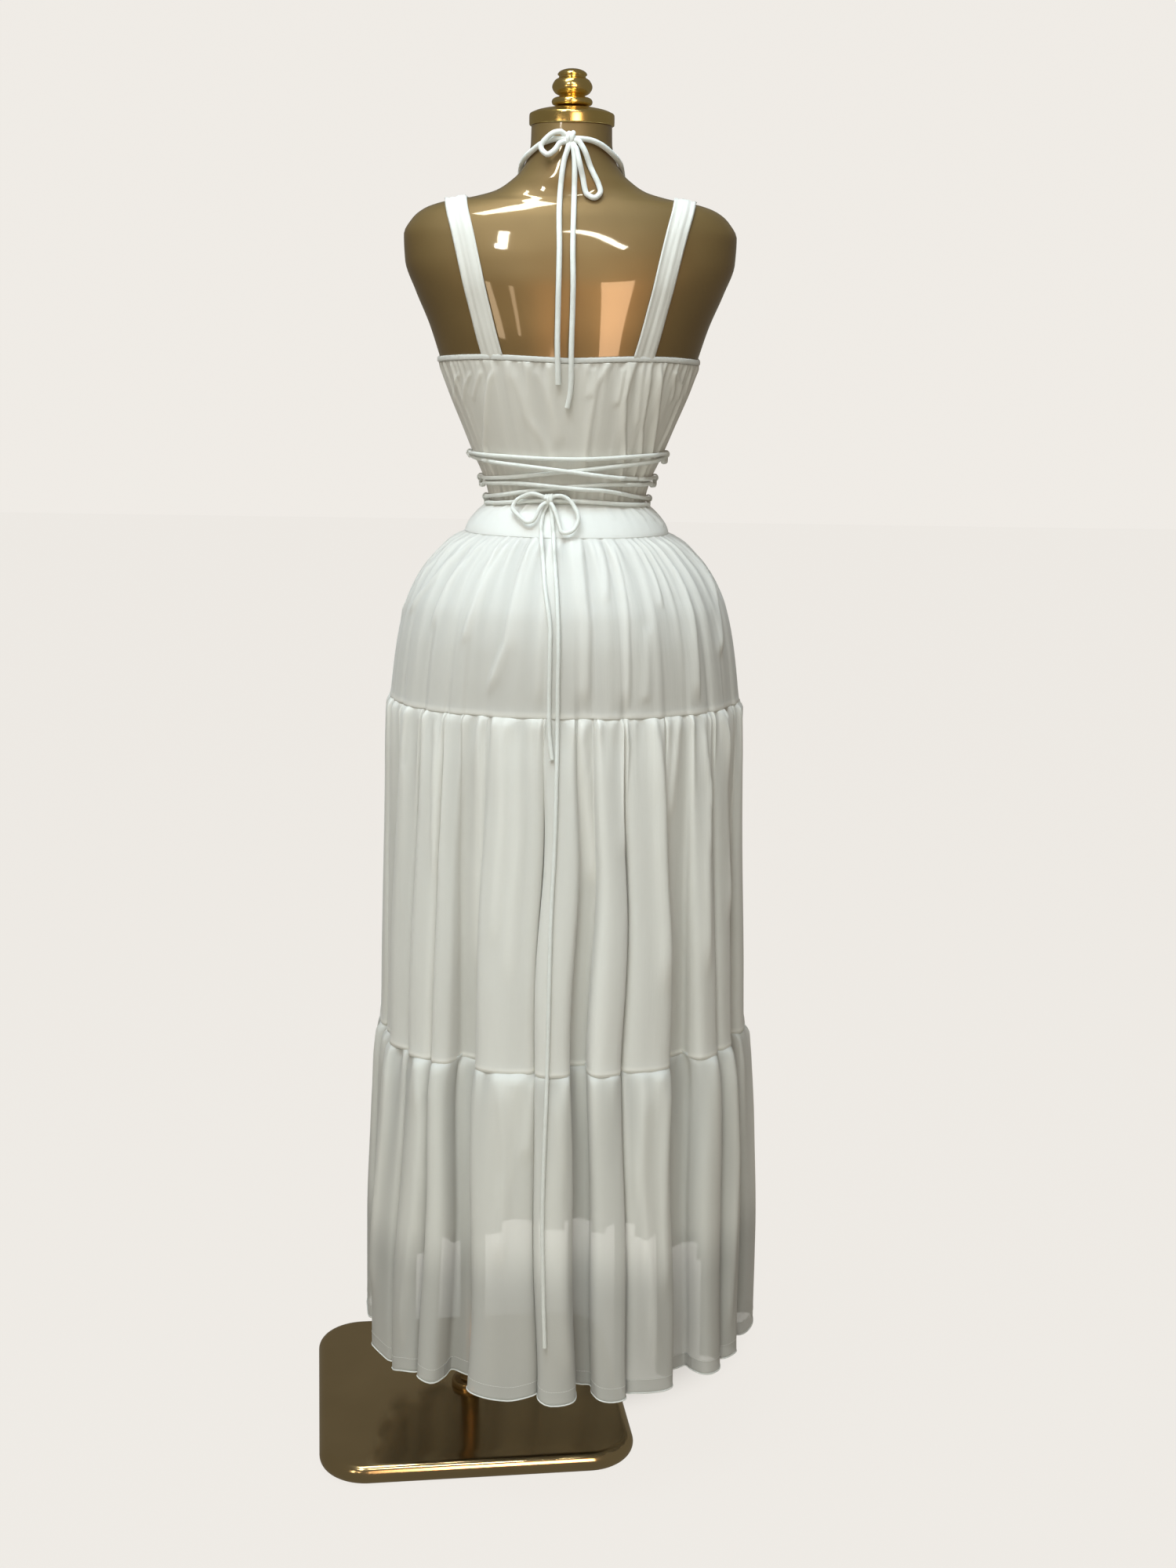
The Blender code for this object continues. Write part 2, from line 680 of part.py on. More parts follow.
def build_socket(form):
    """The socket's top follows the form's underside, just below it."""
    tree = surface_of([form])
    sides = 20
    below = Vector((FORM_X, FORM_Y, 0))
    rings = []
    for share, seated in ((1.0, False), (1.0, True), (0.75, True), (0.5, True), (0.25, True)):
        ring = []
        for i in range(sides):
            angle = 2 * math.pi * i / sides
            place = Vector((math.cos(angle), math.sin(angle), 0)) * SOCKET_RADIUS * share
            above = tree.ray_cast(place - below, Vector((0, 0, 1)))[0].z
            ring.append(Vector((place.x, place.y, above - SOCKET_GAP if seated else SOCKET_BOTTOM_Z)))
        rings.append(ring)
    centre = tree.ray_cast(-below, Vector((0, 0, 1)))[0].z
    points = [p for ring in rings for p in ring] + [Vector((0, 0, centre - SOCKET_GAP))]
    faces = [tuple(range(sides))]
    last = (len(rings) - 1) * sides
    for r in range(len(rings) - 1):
        for i in range(sides):
            j = (i + 1) % sides
            faces.append((r * sides + i, r * sides + j, (r + 1) * sides + j, (r + 1) * sides + i))
    for i in range(sides):
        faces.append((last + i, last + (i + 1) % sides, last + sides))
    add_object("pole_socket", mesh_from("pole_socket", points, faces), "polished gold", None)


# ---------------------------------------------------------------- the dress
def build_bodice(parent):
    """Front and back from the waist to the shaped top edge, and the yoke below the waist."""
    made = []
    for side in ("back", "front"):
        angles = even_angles(side, BODICE_COLUMNS)
        rows = []
        for step in (0.0, 0.12, 0.27, 0.45, 0.63, 0.8, 1.0):
            row = []
            for angle in angles:
                top = top_edge(angle)
                height = WAIST_Z + SEAM_GAP + step * (top - WAIST_Z - SEAM_GAP)
                row.append(form_point(height, angle, ease_at(angle) + CLOTH))
            rows.append(row)
        made.append(cloth_panel(f"bodice_{side}", side, rows, "opaque cloth", parent))
        heights = (YOKE_SEAM_Z + SEAM_GAP, 1.1840, 1.1970, WAIST_Z)
        rows = [[form_point(z, angle, ease_at(angle) + CLOTH) for angle in angles] for z in heights]
        made.append(cloth_panel(f"yoke_{side}", side, rows, "opaque cloth", parent))
    return made


def ease_at(angle):
    """The room between the form and the cloth: more over the front's fuller shape."""
    share = 0.5 - 0.5 * math.cos(angle)
    return BODY_EASE + (FRONT_EASE - BODY_EASE) * min(1.0, 2 * max(0.0, share - 0.5))


def top_edge(angle):
    degrees = math.degrees(angle) % 360
    from_back = min(degrees, 360 - degrees)
    return row_at(TOP_EDGE, from_back)[0]


def build_tiers(parent):
    """Three gathered tiers, each cut at its seams, and the lining inside them."""
    made = []
    lower = SEAM_GAP / 2
    tiers = {
        "tier1": (YOKE_SEAM_Z, 1.1590, 1.1430, 1.1180, 1.0800, 1.0250, TIER1_SEAM_Z + lower),
        "tier2": (TIER1_SEAM_Z - lower, 0.8600, 0.7400, 0.6300, TIER2_SEAM_Z + lower),
        "tier3": (TIER2_SEAM_Z - lower, 0.5000, 0.4000, 0.2700, HEM_Z),
    }
    for side in ("back", "front"):
        for tier, heights in tiers.items():
            angles = even_angles(side, TIER1_COLUMNS) if tier == "tier1" else fold_angles(side)
            finish = "sheer cloth" if tier == "tier3" else "opaque cloth"
            rows = [[skirt_point(z, angle) for angle in angles] for z in heights]
            made.append(cloth_panel(f"{tier}_{side}", side, rows, finish, parent))
        heights = [row[0] for row in LINING]
        rows = [
            [ring_point(*row_at(LINING, z), 0.0, z, angle) for angle in even_angles(side, LINING_COLUMNS)]
            for z in heights
        ]
        made.append(cloth_panel(f"lining_{side}", side, rows, "opaque cloth", parent))
    return made


def build_binding(parent):
    """The narrow elastic binding that stands on the bodice's top edge."""
    half, thick = BINDING_HEIGHT / 2, BINDING_THICK / 2
    bevel = 0.6
    right = ((bevel, -1.0), (1.0, -bevel), (1.0, bevel), (bevel, 1.0))
    corners = ((-1.0, -bevel), (-bevel, -1.0), *right, (-bevel, 1.0), (-1.0, bevel))
    for side in ("back", "front"):
        angles = even_angles(side, BODICE_COLUMNS)
        shift = Vector((0, SEAM_GAP * 0.6 * (1 if side == "back" else -1), 0))
        points, faces = [], []
        for angle in angles:
            height = top_edge(angle) + SEAM_GAP + half
            for outward, upward in corners:
                out = ease_at(angle) + CLOTH / 2 + thick * outward
                lean = form_point(height, angle, out)
                points.append(Vector((lean.x, lean.y, height + half * upward)) + shift)
        count = len(corners)
        for r in range(len(angles) - 1):
            for i in range(count):
                j = (i + 1) % count
                faces.append((r * count + i, r * count + j, (r + 1) * count + j, (r + 1) * count + i))
        faces.append(tuple(range(count)))
        last = (len(angles) - 1) * count
        faces.append(tuple(range(last, last + count)))
        add_object(f"binding_{side}", mesh_from(f"binding_{side}", points, faces), "opaque cloth", parent)


def build_straps(form, parent):
    """Flat straps laid on the form from the binding at the back, over the shoulder, to the front."""
    tree = surface_of([form])
    for name, sign in (("strap_left", 1), ("strap_right", -1)):
        route = []
        for side, x, other in STRAP_ROUTE:
            if side == "top":
                start, way = Vector((sign * x, other, 2.0)), Vector((0, 0, -1))
            else:
                y = 1.0 if side == "back" else -1.0
                start, way = Vector((sign * x, y, other)), Vector((0, -y, 0))
            route.append(tree.ray_cast(start, way)[0])
        rows = []
        for middle in smooth_route(route, STRAP_STEP):
            row = []
            for share in (-0.5, 0.0, 0.5):
                near, normal, _, _ = tree.find_nearest(middle + Vector((share * STRAP_WIDTH, 0, 0)))
                row.append(near + normal * BODY_EASE)
            rows.append(row)
        width = len(rows[0])
        points = [p for row in rows for p in row]
        faces = []
        for r in range(len(rows) - 1):
            for c in range(width - 1):
                first = r * width + c
                faces.append((first, first + 1, first + width + 1, first + width))
        mesh = bpy.data.meshes.new(name)
        mesh.from_pydata([tuple(p) for p in points], [], faces)
        if mesh.polygons[0].normal.y < 0:
            mesh.flip_normals()
        mesh.shade_smooth()
        strap = add_object(name, mesh, "opaque cloth", parent)
        wall = strap.modifiers.new("wall", "SOLIDIFY")
        wall.thickness = CLOTH
        wall.offset = 1.0


# ---------------------------------------------------------------- cords
def build_knot(name, centre, size, parent):
    mesh = bpy.data.meshes.new(name)
    work = bmesh.new()
    bmesh.ops.create_icosphere(work, subdivisions=2, radius=1.0)
    bmesh.ops.scale(work, vec=size, verts=work.verts)
    bmesh.ops.translate(work, vec=centre, verts=work.verts)
    work.to_mesh(mesh)
    work.free()
    mesh.shade_smooth()
    add_object(name, mesh, "tube cord", parent)


def lay_cords(routes, diameter, tree, parent):
    """Each cord lies on the cloth or the form behind it, lifted a diameter where it lies over another cord."""
    for name, route in routes.items():
        reach = TAIL_REACH if "tail" in name else 0.0
        laid = []
        for x, height, over in route:
            y = cover_at(tree, x, height, reach) + diameter / 2 + TOUCH
            laid.append(Vector((x, y + over * (diameter + TOUCH), height)))
        points = smooth_route(laid, diameter * CORD_STEP)
        push_clear(points, tree, diameter / 2 + TOUCH)
        cord_tube(name, points, diameter, parent)


def build_neck_tie(form, cover, parent):
    """Two cords from the bodice's front round the neck, the knot at the nape, two loops and two tails."""
    tree = surface_of([form])
    x, height = NECK_KNOT_PLACE
    back = cover_at(tree, x, height) + NECK_KNOT_SIZE[1] + TOUCH
    build_knot("neck_knot", Vector((x, back, height)), NECK_KNOT_SIZE, parent)
    lay_cords(NECK_TIE, NECK_CORD, cover, parent)
    lift = NECK_CORD / 2 + 2 * TOUCH
    for name, sign in (("neck_cord_left", 1), ("neck_cord_right", -1)):
        route = [form_point(z, -sign * math.radians(degrees), lift) for degrees, z in NECK_ROUND]
        route.append(Vector((x + sign * (NECK_KNOT_SIZE[0] + TOUCH), back, height)))
        points = smooth_route(route, NECK_CORD * CORD_STEP)
        push_clear(points, tree, lift)
        cord_tube(name, points, NECK_CORD, parent)


def build_waist_lace(cover, parent):
    """The lace's spans, its knot, bow and tails, and the thread loops on the side seams."""
    x, height = WAIST_KNOT_PLACE
    back = cover_at(cover, x, height) + WAIST_KNOT_SIZE[1] + TOUCH
    build_knot("lace_knot", Vector((x, back, height)), WAIST_KNOT_SIZE, parent)
    lay_cords(WAIST_LACE, LACE, cover, parent)
    for number, heights in enumerate(LACE_LOOPS, 1):
        for name, sign, z in (("left", 1, heights[0]), ("right", -1, heights[1])):
            edge = form_point(z, -sign * math.pi / 2, BODY_EASE + CLOTH)
            centre = Vector((edge.x + sign * (LOOP_RADIUS + LOOP_THREAD / 2 + LOOP_CLEAR), 0.0, z))
            build_loop(f"lace_loop_{name}_{number}", centre, parent)


def build_loop(name, centre, parent):
    """A round thread loop that stands out from the side seam, open along Y for the lace."""
    around, through = 12, 5
    points, faces = [], []
    for i in range(around):
        turn = 2 * math.pi * i / around
        way = Vector((math.cos(turn), 0, math.sin(turn)))
        for k in range(through):
            roll = 2 * math.pi * k / through
            ring = LOOP_RADIUS + LOOP_THREAD / 2 * math.cos(roll)
            points.append(centre + way * ring + Vector((0, LOOP_THREAD / 2 * math.sin(roll), 0)))
    for i in range(around):
        j = (i + 1) % around
        for k in range(through):
            m = (k + 1) % through
            faces.append((i * through + k, j * through + k, j * through + m, i * through + m))
    add_object(name, mesh_from(name, points, faces), "tube cord", parent)


def main():
    clear_scene()
    anchor = bpy.data.objects.new("form_midline", None)
    anchor.location = (FORM_X, FORM_Y, 0)
    bpy.context.scene.collection.objects.link(anchor)
    build_stand()
    form = build_form(anchor)
    build_neck(anchor)
    build_socket(form)
    upper = build_bodice(anchor)
    skirt = build_tiers(anchor)
    build_binding(anchor)
    build_straps(form, anchor)
    bpy.context.view_layer.update()
    binding = bpy.data.objects["binding_back"]
    cover = surface_of([form, binding, *upper, *skirt])
    build_neck_tie(form, cover, anchor)
    build_waist_lace(cover, anchor)


main()
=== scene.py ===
"""The looks of a tiered maxi dress on a dress form with no limbs: its cloth, cords, coat and gold.

Metres, +Z up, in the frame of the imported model. The form's midline stands at FORM_X and FORM_Y. Angles round
the dress are in degrees from the centre back, and grow towards the right side seam at 90, so 180 is the
centre front and -90 the left side seam.
"""

import math

import bmesh
import bpy
import numpy as np
from mathutils import Matrix, Vector
from mathutils.bvhtree import BVHTree


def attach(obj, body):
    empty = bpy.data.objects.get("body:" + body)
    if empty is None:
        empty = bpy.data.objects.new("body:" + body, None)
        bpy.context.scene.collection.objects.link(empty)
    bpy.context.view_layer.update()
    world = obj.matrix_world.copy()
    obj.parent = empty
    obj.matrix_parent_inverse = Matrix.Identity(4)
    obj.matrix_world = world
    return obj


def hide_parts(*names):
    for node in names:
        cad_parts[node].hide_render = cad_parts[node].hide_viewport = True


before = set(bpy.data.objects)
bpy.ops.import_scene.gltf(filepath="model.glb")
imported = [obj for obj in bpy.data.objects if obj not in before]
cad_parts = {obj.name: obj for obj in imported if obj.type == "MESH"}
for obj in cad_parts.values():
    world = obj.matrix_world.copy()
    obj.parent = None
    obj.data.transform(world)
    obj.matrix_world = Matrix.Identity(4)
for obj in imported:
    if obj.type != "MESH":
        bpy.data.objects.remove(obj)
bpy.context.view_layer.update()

# ---------------------------------------------------------------- sizes of the dress and its form
FORM_X = -0.117
FORM_Y = -0.028
ROUNDNESS = 2.25
CLOTH = 0.0011
BODY_EASE = 0.0032
FRONT_EASE = 0.0052

WAIST_Z = 1.2100
YOKE_SEAM_Z = 1.1710
TIER1_SEAM_Z = 0.9650
TIER2_SEAM_Z = 0.5440
HEM_Z = 0.1360
LINING_HEM_Z = 0.3200
HEM_TURN = 0.0130
BINDING_HEIGHT = 0.0064
BINDING_THICK = 0.0030
STRAP_WIDTH = 0.0260

BUST_Z = 1.3650
BUST_RISE = 0.0300
BUST_HALF_HEIGHT = 0.0620
BUST_ANGLE = 149.0
BUST_SPREAD = 21.0
SPINE_Z = 1.3760
SPINE_DEPTH = 0.0035
SPINE_SPREAD = 9.0

NECK_CORD = 0.0065
LACE = 0.0050
LOOP_THREAD = 0.0022
LOOP_RADIUS = 0.0041
TOUCH = 0.0003

PLATE_SIDE = 0.4030
PLATE_THICK = 0.0260
PLATE_CORNER = 0.0620
PLATE_TURN = 7.6
POLE_RADIUS = 0.0125
SOCKET_BOTTOM_Z = 0.7750

# The form: height, half width, depth to the back, depth to the front, place of the side line.
FORM = (
    (0.8120, 0.0700, 0.0560, 0.0540, 0.0),
    (0.8170, 0.1120, 0.0850, 0.0780, 0.0),
    (0.8320, 0.1430, 0.1050, 0.0930, 0.0),
    (0.8630, 0.1630, 0.1170, 0.1030, 0.0),
    (0.9200, 0.1770, 0.1270, 0.1070, 0.0),
    (0.9800, 0.1840, 0.1340, 0.1060, 0.0),
    (1.0400, 0.1850, 0.1340, 0.1020, 0.0),
    (1.0900, 0.1730, 0.1220, 0.0970, 0.0),
    (1.1300, 0.1510, 0.1040, 0.0910, 0.0),
    (1.1550, 0.1310, 0.0910, 0.0870, 0.0),
    (1.1750, 0.1160, 0.0820, 0.0830, 0.0),
    (1.1950, 0.1010, 0.0750, 0.0790, 0.0),
    (1.2110, 0.0925, 0.0720, 0.0770, 0.0),
    (1.2350, 0.0985, 0.0730, 0.0790, 0.0),
    (1.2650, 0.1120, 0.0770, 0.0860, 0.0),
    (1.3000, 0.1265, 0.0840, 0.0960, 0.0),
    (1.3400, 0.1430, 0.0910, 0.1020, 0.0),
    (1.3760, 0.1555, 0.0960, 0.1000, 0.0),
    (1.4200, 0.1700, 0.1000, 0.0920, 0.0),
    (1.4600, 0.1870, 0.1000, 0.0820, 0.0),
    (1.4950, 0.1995, 0.0940, 0.0720, 0.0),
    (1.5250, 0.2010, 0.0840, 0.0620, 0.0),
    (1.5450, 0.1900, 0.0740, 0.0540, 0.0),
    (1.5560, 0.1760, 0.0660, 0.0480, 0.0),
    (1.5635, 0.1550, 0.0600, 0.0440, 0.0),
    (1.5700, 0.1180, 0.0560, 0.0420, 0.0),
    (1.5780, 0.0900, 0.0540, 0.0430, 0.0),
    (1.5880, 0.0740, 0.0530, 0.0450, 0.0),
    (1.6000, 0.0610, 0.0520, 0.0470, -0.0020),
    (1.6150, 0.0530, 0.0500, 0.0490, -0.0050),
    (1.6320, 0.0490, 0.0490, 0.0490, -0.0090),
    (1.6540, 0.0485, 0.0490, 0.0490, -0.0140),
)

# Turned gold pieces: radius, height above the neck's top.
NECK_CAP = (
    (0.0490, 0.0003), (0.0505, 0.0008), (0.0512, 0.0024), (0.0512, 0.0120), (0.0505, 0.0140), (0.0490, 0.0153),
    (0.0400, 0.0188), (0.0250, 0.0218), (0.0165, 0.0228),
)
FINIAL = (
    (0.0170, 0.0231), (0.0232, 0.0250), (0.0245, 0.0291), (0.0215, 0.0326), (0.0150, 0.0346), (0.0205, 0.0381),
    (0.0238, 0.0431), (0.0238, 0.0476), (0.0205, 0.0531), (0.0165, 0.0556), (0.0160, 0.0576), (0.0178, 0.0596),
    (0.0150, 0.0631), (0.0090, 0.0656), (0.0030, 0.0666),
)

# The skirt's outer face between folds: height, half width, depth to the back, depth to the front.
SKIRT = (
    (1.1710, 0.1262, 0.0985, 0.0935),
    (1.1590, 0.1450, 0.1130, 0.1040),
    (1.1470, 0.1580, 0.1235, 0.1110),
    (1.1300, 0.1740, 0.1370, 0.1180),
    (1.1070, 0.1890, 0.1530, 0.1250),
    (1.0800, 0.2010, 0.1660, 0.1310),
    (1.0400, 0.2105, 0.1742, 0.1370),
    (1.0000, 0.2165, 0.1765, 0.1440),
    (0.9650, 0.2205, 0.1770, 0.1510),
    (0.9000, 0.2260, 0.1870, 0.1620),
    (0.7800, 0.2310, 0.2020, 0.1780),
    (0.6500, 0.2355, 0.2180, 0.1930),
    (0.5440, 0.2385, 0.2290, 0.2040),
    (0.5000, 0.2450, 0.2360, 0.2100),
    (0.4000, 0.2530, 0.2470, 0.2190),
    (0.2700, 0.2590, 0.2570, 0.2270),
    (0.1360, 0.2600, 0.2640, 0.2330),
)
LINING = (
    (1.1690, 0.1245, 0.0912, 0.0922),
    (1.1480, 0.1415, 0.1010, 0.0960),
    (1.1150, 0.1675, 0.1200, 0.1020),
    (1.0650, 0.1860, 0.1370, 0.1090),
    (1.0100, 0.1900, 0.1400, 0.1120),
    (0.9000, 0.1880, 0.1400, 0.1160),
    (0.6500, 0.1760, 0.1420, 0.1260),
    (LINING_HEM_Z, 0.1640, 0.1440, 0.1320),
)

# The long folds of the two lower tiers: angle of the crown, half width in degrees, height of the crown at the
# hem.
LONG_FOLDS = (
    (-100.0, 8.0, 0.024), (-82.0, 7.0, 0.022), (-69.0, 5.0, 0.018), (-55.5, 7.0, 0.034), (-42.0, 5.5, 0.040),
    (-33.0, 3.5, 0.040), (-13.0, 9.0, 0.042), (-0.5, 4.0, 0.050), (12.0, 4.5, 0.048), (24.0, 7.5, 0.040),
    (46.0, 5.5, 0.036), (57.5, 5.0, 0.032), (78.0, 7.0, 0.028), (98.0, 7.0, 0.022), (114.0, 6.5, 0.032),
    (131.0, 7.5, 0.036), (146.0, 4.5, 0.042), (161.0, 7.5, 0.038), (176.0, 5.0, 0.044), (192.0, 8.0, 0.040),
    (209.0, 6.0, 0.042), (225.0, 7.0, 0.034), (242.0, 6.0, 0.036),
)
# Across one fold: share of its half width, the same where the fold is pinched in at its foot, share of its
# height.
FOLD_SHAPE = (
    (-1.00, -0.84, 0.00), (-0.90, -0.98, 0.42), (-0.72, -0.86, 0.84), (-0.36, -0.40, 1.00),
    (0.36, 0.40, 0.98), (0.72, 0.86, 0.82), (0.90, 0.98, 0.42), (1.00, 0.84, 0.00),
)
FOLD_SINK = 0.026
# How deep the long folds are at each height, as a share of their depth at the hem.
FOLD_GROWTH = ((1.1710, 0.0), (1.10, 0.03), (0.9650, 0.10), (0.80, 0.42), (0.5440, 0.85), (0.1360, 1.0))

TOP_EDGE = (
    (0.0, 1.3760), (32.0, 1.3790), (90.0, 1.3750), (118.0, 1.3900), (138.0, 1.4230), (150.0, 1.4180),
    (180.0, 1.3790),
)

# Listed creases: route of (angle, height) from the top, half width, depth, lean. A negative depth is a
# trough, and a lean of 1 or -1 makes the side of larger or smaller angles steep.
BODICE_CREASES = (
    (((-31.5, 1.369), (-35.9, 1.354), (-46.6, 1.303), (-55.3, 1.275), (-58, 1.235)), 0.0035, 0.0026, -1),
    (((-38.0, 1.367), (-44.0, 1.348), (-50.0, 1.330)), 0.0030, 0.0016, 1),
    (((-45.7, 1.364), (-54.3, 1.344), (-60.0, 1.325)), 0.0030, 0.0018, 1),
    (((-54.4, 1.364), (-69.0, 1.336), (-76.0, 1.315)), 0.0032, 0.0018, 1),
    (((-23.3, 1.372), (-19.6, 1.342), (-17.8, 1.313), (-9.9, 1.280), (-4.0, 1.235)), 0.0065, 0.0016, 0),
    (((-12.2, 1.372), (-8.1, 1.346), (-4.0, 1.310), (-3.3, 1.276)), 0.0050, 0.0015, 0),
    (((8.9, 1.372), (8.1, 1.335)), 0.0035, 0.0016, 0),
    (((13.7, 1.373), (10.7, 1.348), (9.7, 1.314), (8.6, 1.240)), 0.0042, 0.0022, 0.5),
    (((22.4, 1.374), (22.0, 1.357), (21.7, 1.325)), 0.0034, 0.0022, 1),
    (((26.1, 1.374), (25.3, 1.336), (29.0, 1.300), (33.2, 1.272), (37.0, 1.225)), 0.0042, 0.0034, 1),
    (((30.5, 1.374), (32.4, 1.336), (36.0, 1.300)), 0.0036, 0.0020, -0.5),
    (((36.0, 1.372), (38.0, 1.336), (40.4, 1.304), (46.2, 1.271), (49.0, 1.222)), 0.0038, 0.0030, 1),
    (((41.1, 1.374), (47.7, 1.326), (56.5, 1.271), (58.0, 1.222)), 0.0045, 0.0040, 1),
    (((50.9, 1.370), (56.5, 1.347), (58.0, 1.330)), 0.0030, 0.0020, 0),
    (((53.8, 1.369), (62.9, 1.351), (67.0, 1.330)), 0.0030, 0.0020, 1),
    (((67.7, 1.368), (70.5, 1.353), (73.0, 1.335)), 0.0030, 0.0018, 0),
    (((66.8, 1.345), (67.8, 1.297), (64.2, 1.271), (62.0, 1.225)), 0.0048, 0.0024, -1),
)
YOKE_CREASES = (
    (((24.6, 1.210), (28.6, 1.192)), 0.0040, 0.0016, 0.6),
    (((47.6, 1.210), (54.2, 1.190)), 0.0042, 0.0022, 0.8),
    (((56.9, 1.210), (66.0, 1.188)), 0.0040, 0.0022, 0.8),
    (((66.0, 1.210), (76.0, 1.180)), 0.0045, 0.0024, 0.6),
    (((-27.0, 1.210), (-28.0, 1.198)), 0.0030, 0.0012, -0.6),
    (((-44.0, 1.210), (-50.0, 1.190)), 0.0040, 0.0014, -0.6),
    (((-60.0, 1.210), (-68.0, 1.186)), 0.0040, 0.0016, -0.6),
)
TIER1_CREASES = (
    (((-14.9, 1.170), (-16.5, 1.055), (-22.7, 0.985)), 0.0065, 0.0034, -0.8),
    (((-26.8, 1.170), (-30.6, 1.091), (-33.0, 1.045)), 0.0060, 0.0032, -0.8),
    (((-41.6, 1.170), (-47.7, 1.116), (-49.1, 1.060)), 0.0060, 0.0028, -0.8),
    (((-49.4, 1.170), (-59.3, 1.120), (-71.3, 1.070)), 0.0065, 0.0030, -0.8),
    (((-62.0, 1.170), (-74.0, 1.120), (-82.0, 1.060)), 0.0065, 0.0026, -0.8),
    (((4.0, 1.170), (5.0, 1.129), (6.8, 1.082), (5.7, 0.975)), 0.0060, 0.0032, 0.8),
    (((21.0, 1.170), (19.7, 1.138), (18.6, 1.044), (17.9, 0.970)), 0.0060, 0.0036, 1),
    (((26.5, 1.075), (23.7, 0.980)), 0.0060, 0.0020, 0),
    (((35.3, 1.170), (35.0, 1.137), (33.8, 1.090)), 0.0050, 0.0028, 0.8),
    (((49.0, 1.170), (49.0, 1.135), (47.8, 1.095), (46.6, 1.053), (45.3, 0.975)), 0.0065, 0.0036, 0.8),
    (((78.0, 1.165), (74.0, 1.120), (68.6, 1.080), (61.7, 1.025)), 0.0075, 0.0038, 0.8),
    (((-4.6, 1.170), (-5.7, 1.045), (-5.6, 0.975)), 0.0055, 0.0018, 0),
    (((16.0, 1.170), (12.4, 1.100)), 0.0045, 0.0022, 0.5),
)
TIER2_CREASES = (
    (((-55.1, 0.962), (-55.4, 0.890)), 0.0050, -0.0024, 0),
    (((-40.9, 0.962), (-40.1, 0.927), (-37.8, 0.760)), 0.0065, 0.0030, -1),
    (((-23.8, 0.962), (-22.5, 0.813), (-22.6, 0.640)), 0.0070, 0.0045, 1),
    (((-16.3, 0.962), (-15.3, 0.843), (-15.1, 0.690)), 0.0050, 0.0026, 0),
    (((-10.9, 0.962), (-10.5, 0.798), (-10.6, 0.640)), 0.0060, 0.0024, 0.5),
    (((4.4, 0.962), (6.4, 0.886), (7.4, 0.760)), 0.0065, 0.0040, 1),
    (((16.7, 0.962), (17.5, 0.937), (16.6, 0.800)), 0.0060, 0.0032, 1),
    (((27.4, 0.962), (29.5, 0.865), (28.9, 0.710), (28.4, 0.630)), 0.0075, 0.0045, 1),
    (((35.8, 0.962), (32.8, 0.840)), 0.0060, 0.0026, -0.6),
    (((46.1, 0.962), (49.0, 0.876), (47.1, 0.769), (46.5, 0.640)), 0.0075, 0.0045, 1),
    (((59.3, 0.962), (64.8, 0.867), (60.7, 0.700)), 0.0070, 0.0036, 1),
)
TIER3_CREASES = (
    (((-39.0, 0.540), (-38.0, 0.470), (-41.0, 0.160)), 0.0070, 0.0050, 1),
    (((-12.0, 0.540), (-10.5, 0.430), (-12.5, 0.300)), 0.0060, 0.0050, 0.6),
    (((-6.0, 0.540), (-7.0, 0.440)), 0.0045, 0.0040, 0),
    (((1.6, 0.540), (1.0, 0.400), (2.0, 0.160)), 0.0050, 0.0040, 1),
    (((22.0, 0.540), (21.0, 0.420), (24.0, 0.160)), 0.0060, 0.0045, -0.6),
    (((29.0, 0.540), (28.0, 0.440), (27.0, 0.250)), 0.0050, 0.0035, 0.6),
    (((-57.0, 0.540), (-56.0, 0.450), (-59.0, 0.200)), 0.0070, 0.0040, 0),
    (((57.0, 0.540), (58.0, 0.400), (56.0, 0.160)), 0.0060, 0.0035, 0.6),
)
# How a crease of the back is turned to lie on the front too: share of its angle, turn.
FRONT_TURN = (-0.93, 183.0)

# Each strap: the side it is laid from, its distance from the midline, then its height or, on top, its y.
STRAP_ROUTE = (
    ("back", 0.0885, 1.3815),
    ("back", 0.0980, 1.4150),
    ("back", 0.1070, 1.4500),
    ("back", 0.1155, 1.4850),
    ("back", 0.1240, 1.5200),
    ("back", 0.1310, 1.5450),
    ("top", 0.1360, 0.0260),
    ("top", 0.1380, 0.0100),
    ("top", 0.1370, -0.0080),
    ("top", 0.1345, -0.0230),
    ("front", 0.1300, 1.5350),
    ("front", 0.1220, 1.5050),
    ("front", 0.1140, 1.4750),
    ("front", 0.1060, 1.4500),
    ("front", 0.1010, 1.4330),
)

# The cords' routes: distance from the midline, height, how many cords a point lies over.
NECK_LOOP_LEFT = (
    (0.0120, 1.6425, 1), (0.0205, 1.6410, 1.3), (0.0290, 1.6340, 1.6), (0.0330, 1.6240, 1.6),
    (0.0280, 1.6160, 1.6), (0.0200, 1.6200, 1.3), (0.0130, 1.6290, 1.2),
)
NECK_LOOP_RIGHT = (
    (-0.0100, 1.6310, 1), (-0.0170, 1.6190, 1), (-0.0240, 1.6010, 0), (-0.0330, 1.5830, 0),
    (-0.0350, 1.5720, 0), (-0.0270, 1.5670, 0), (-0.0185, 1.5730, 0), (-0.0145, 1.5900, 0),
    (-0.0105, 1.6060, 1), (-0.0065, 1.6220, 1),
)
NECK_TAIL_LEFT = (
    (0.0035, 1.6240, 0), (0.0090, 1.6030, 0), (0.0125, 1.5600, 0), (0.0115, 1.5050, 0), (0.0120, 1.4500, 0),
    (0.0124, 1.3980, 0), (0.0110, 1.3520, 0),
)
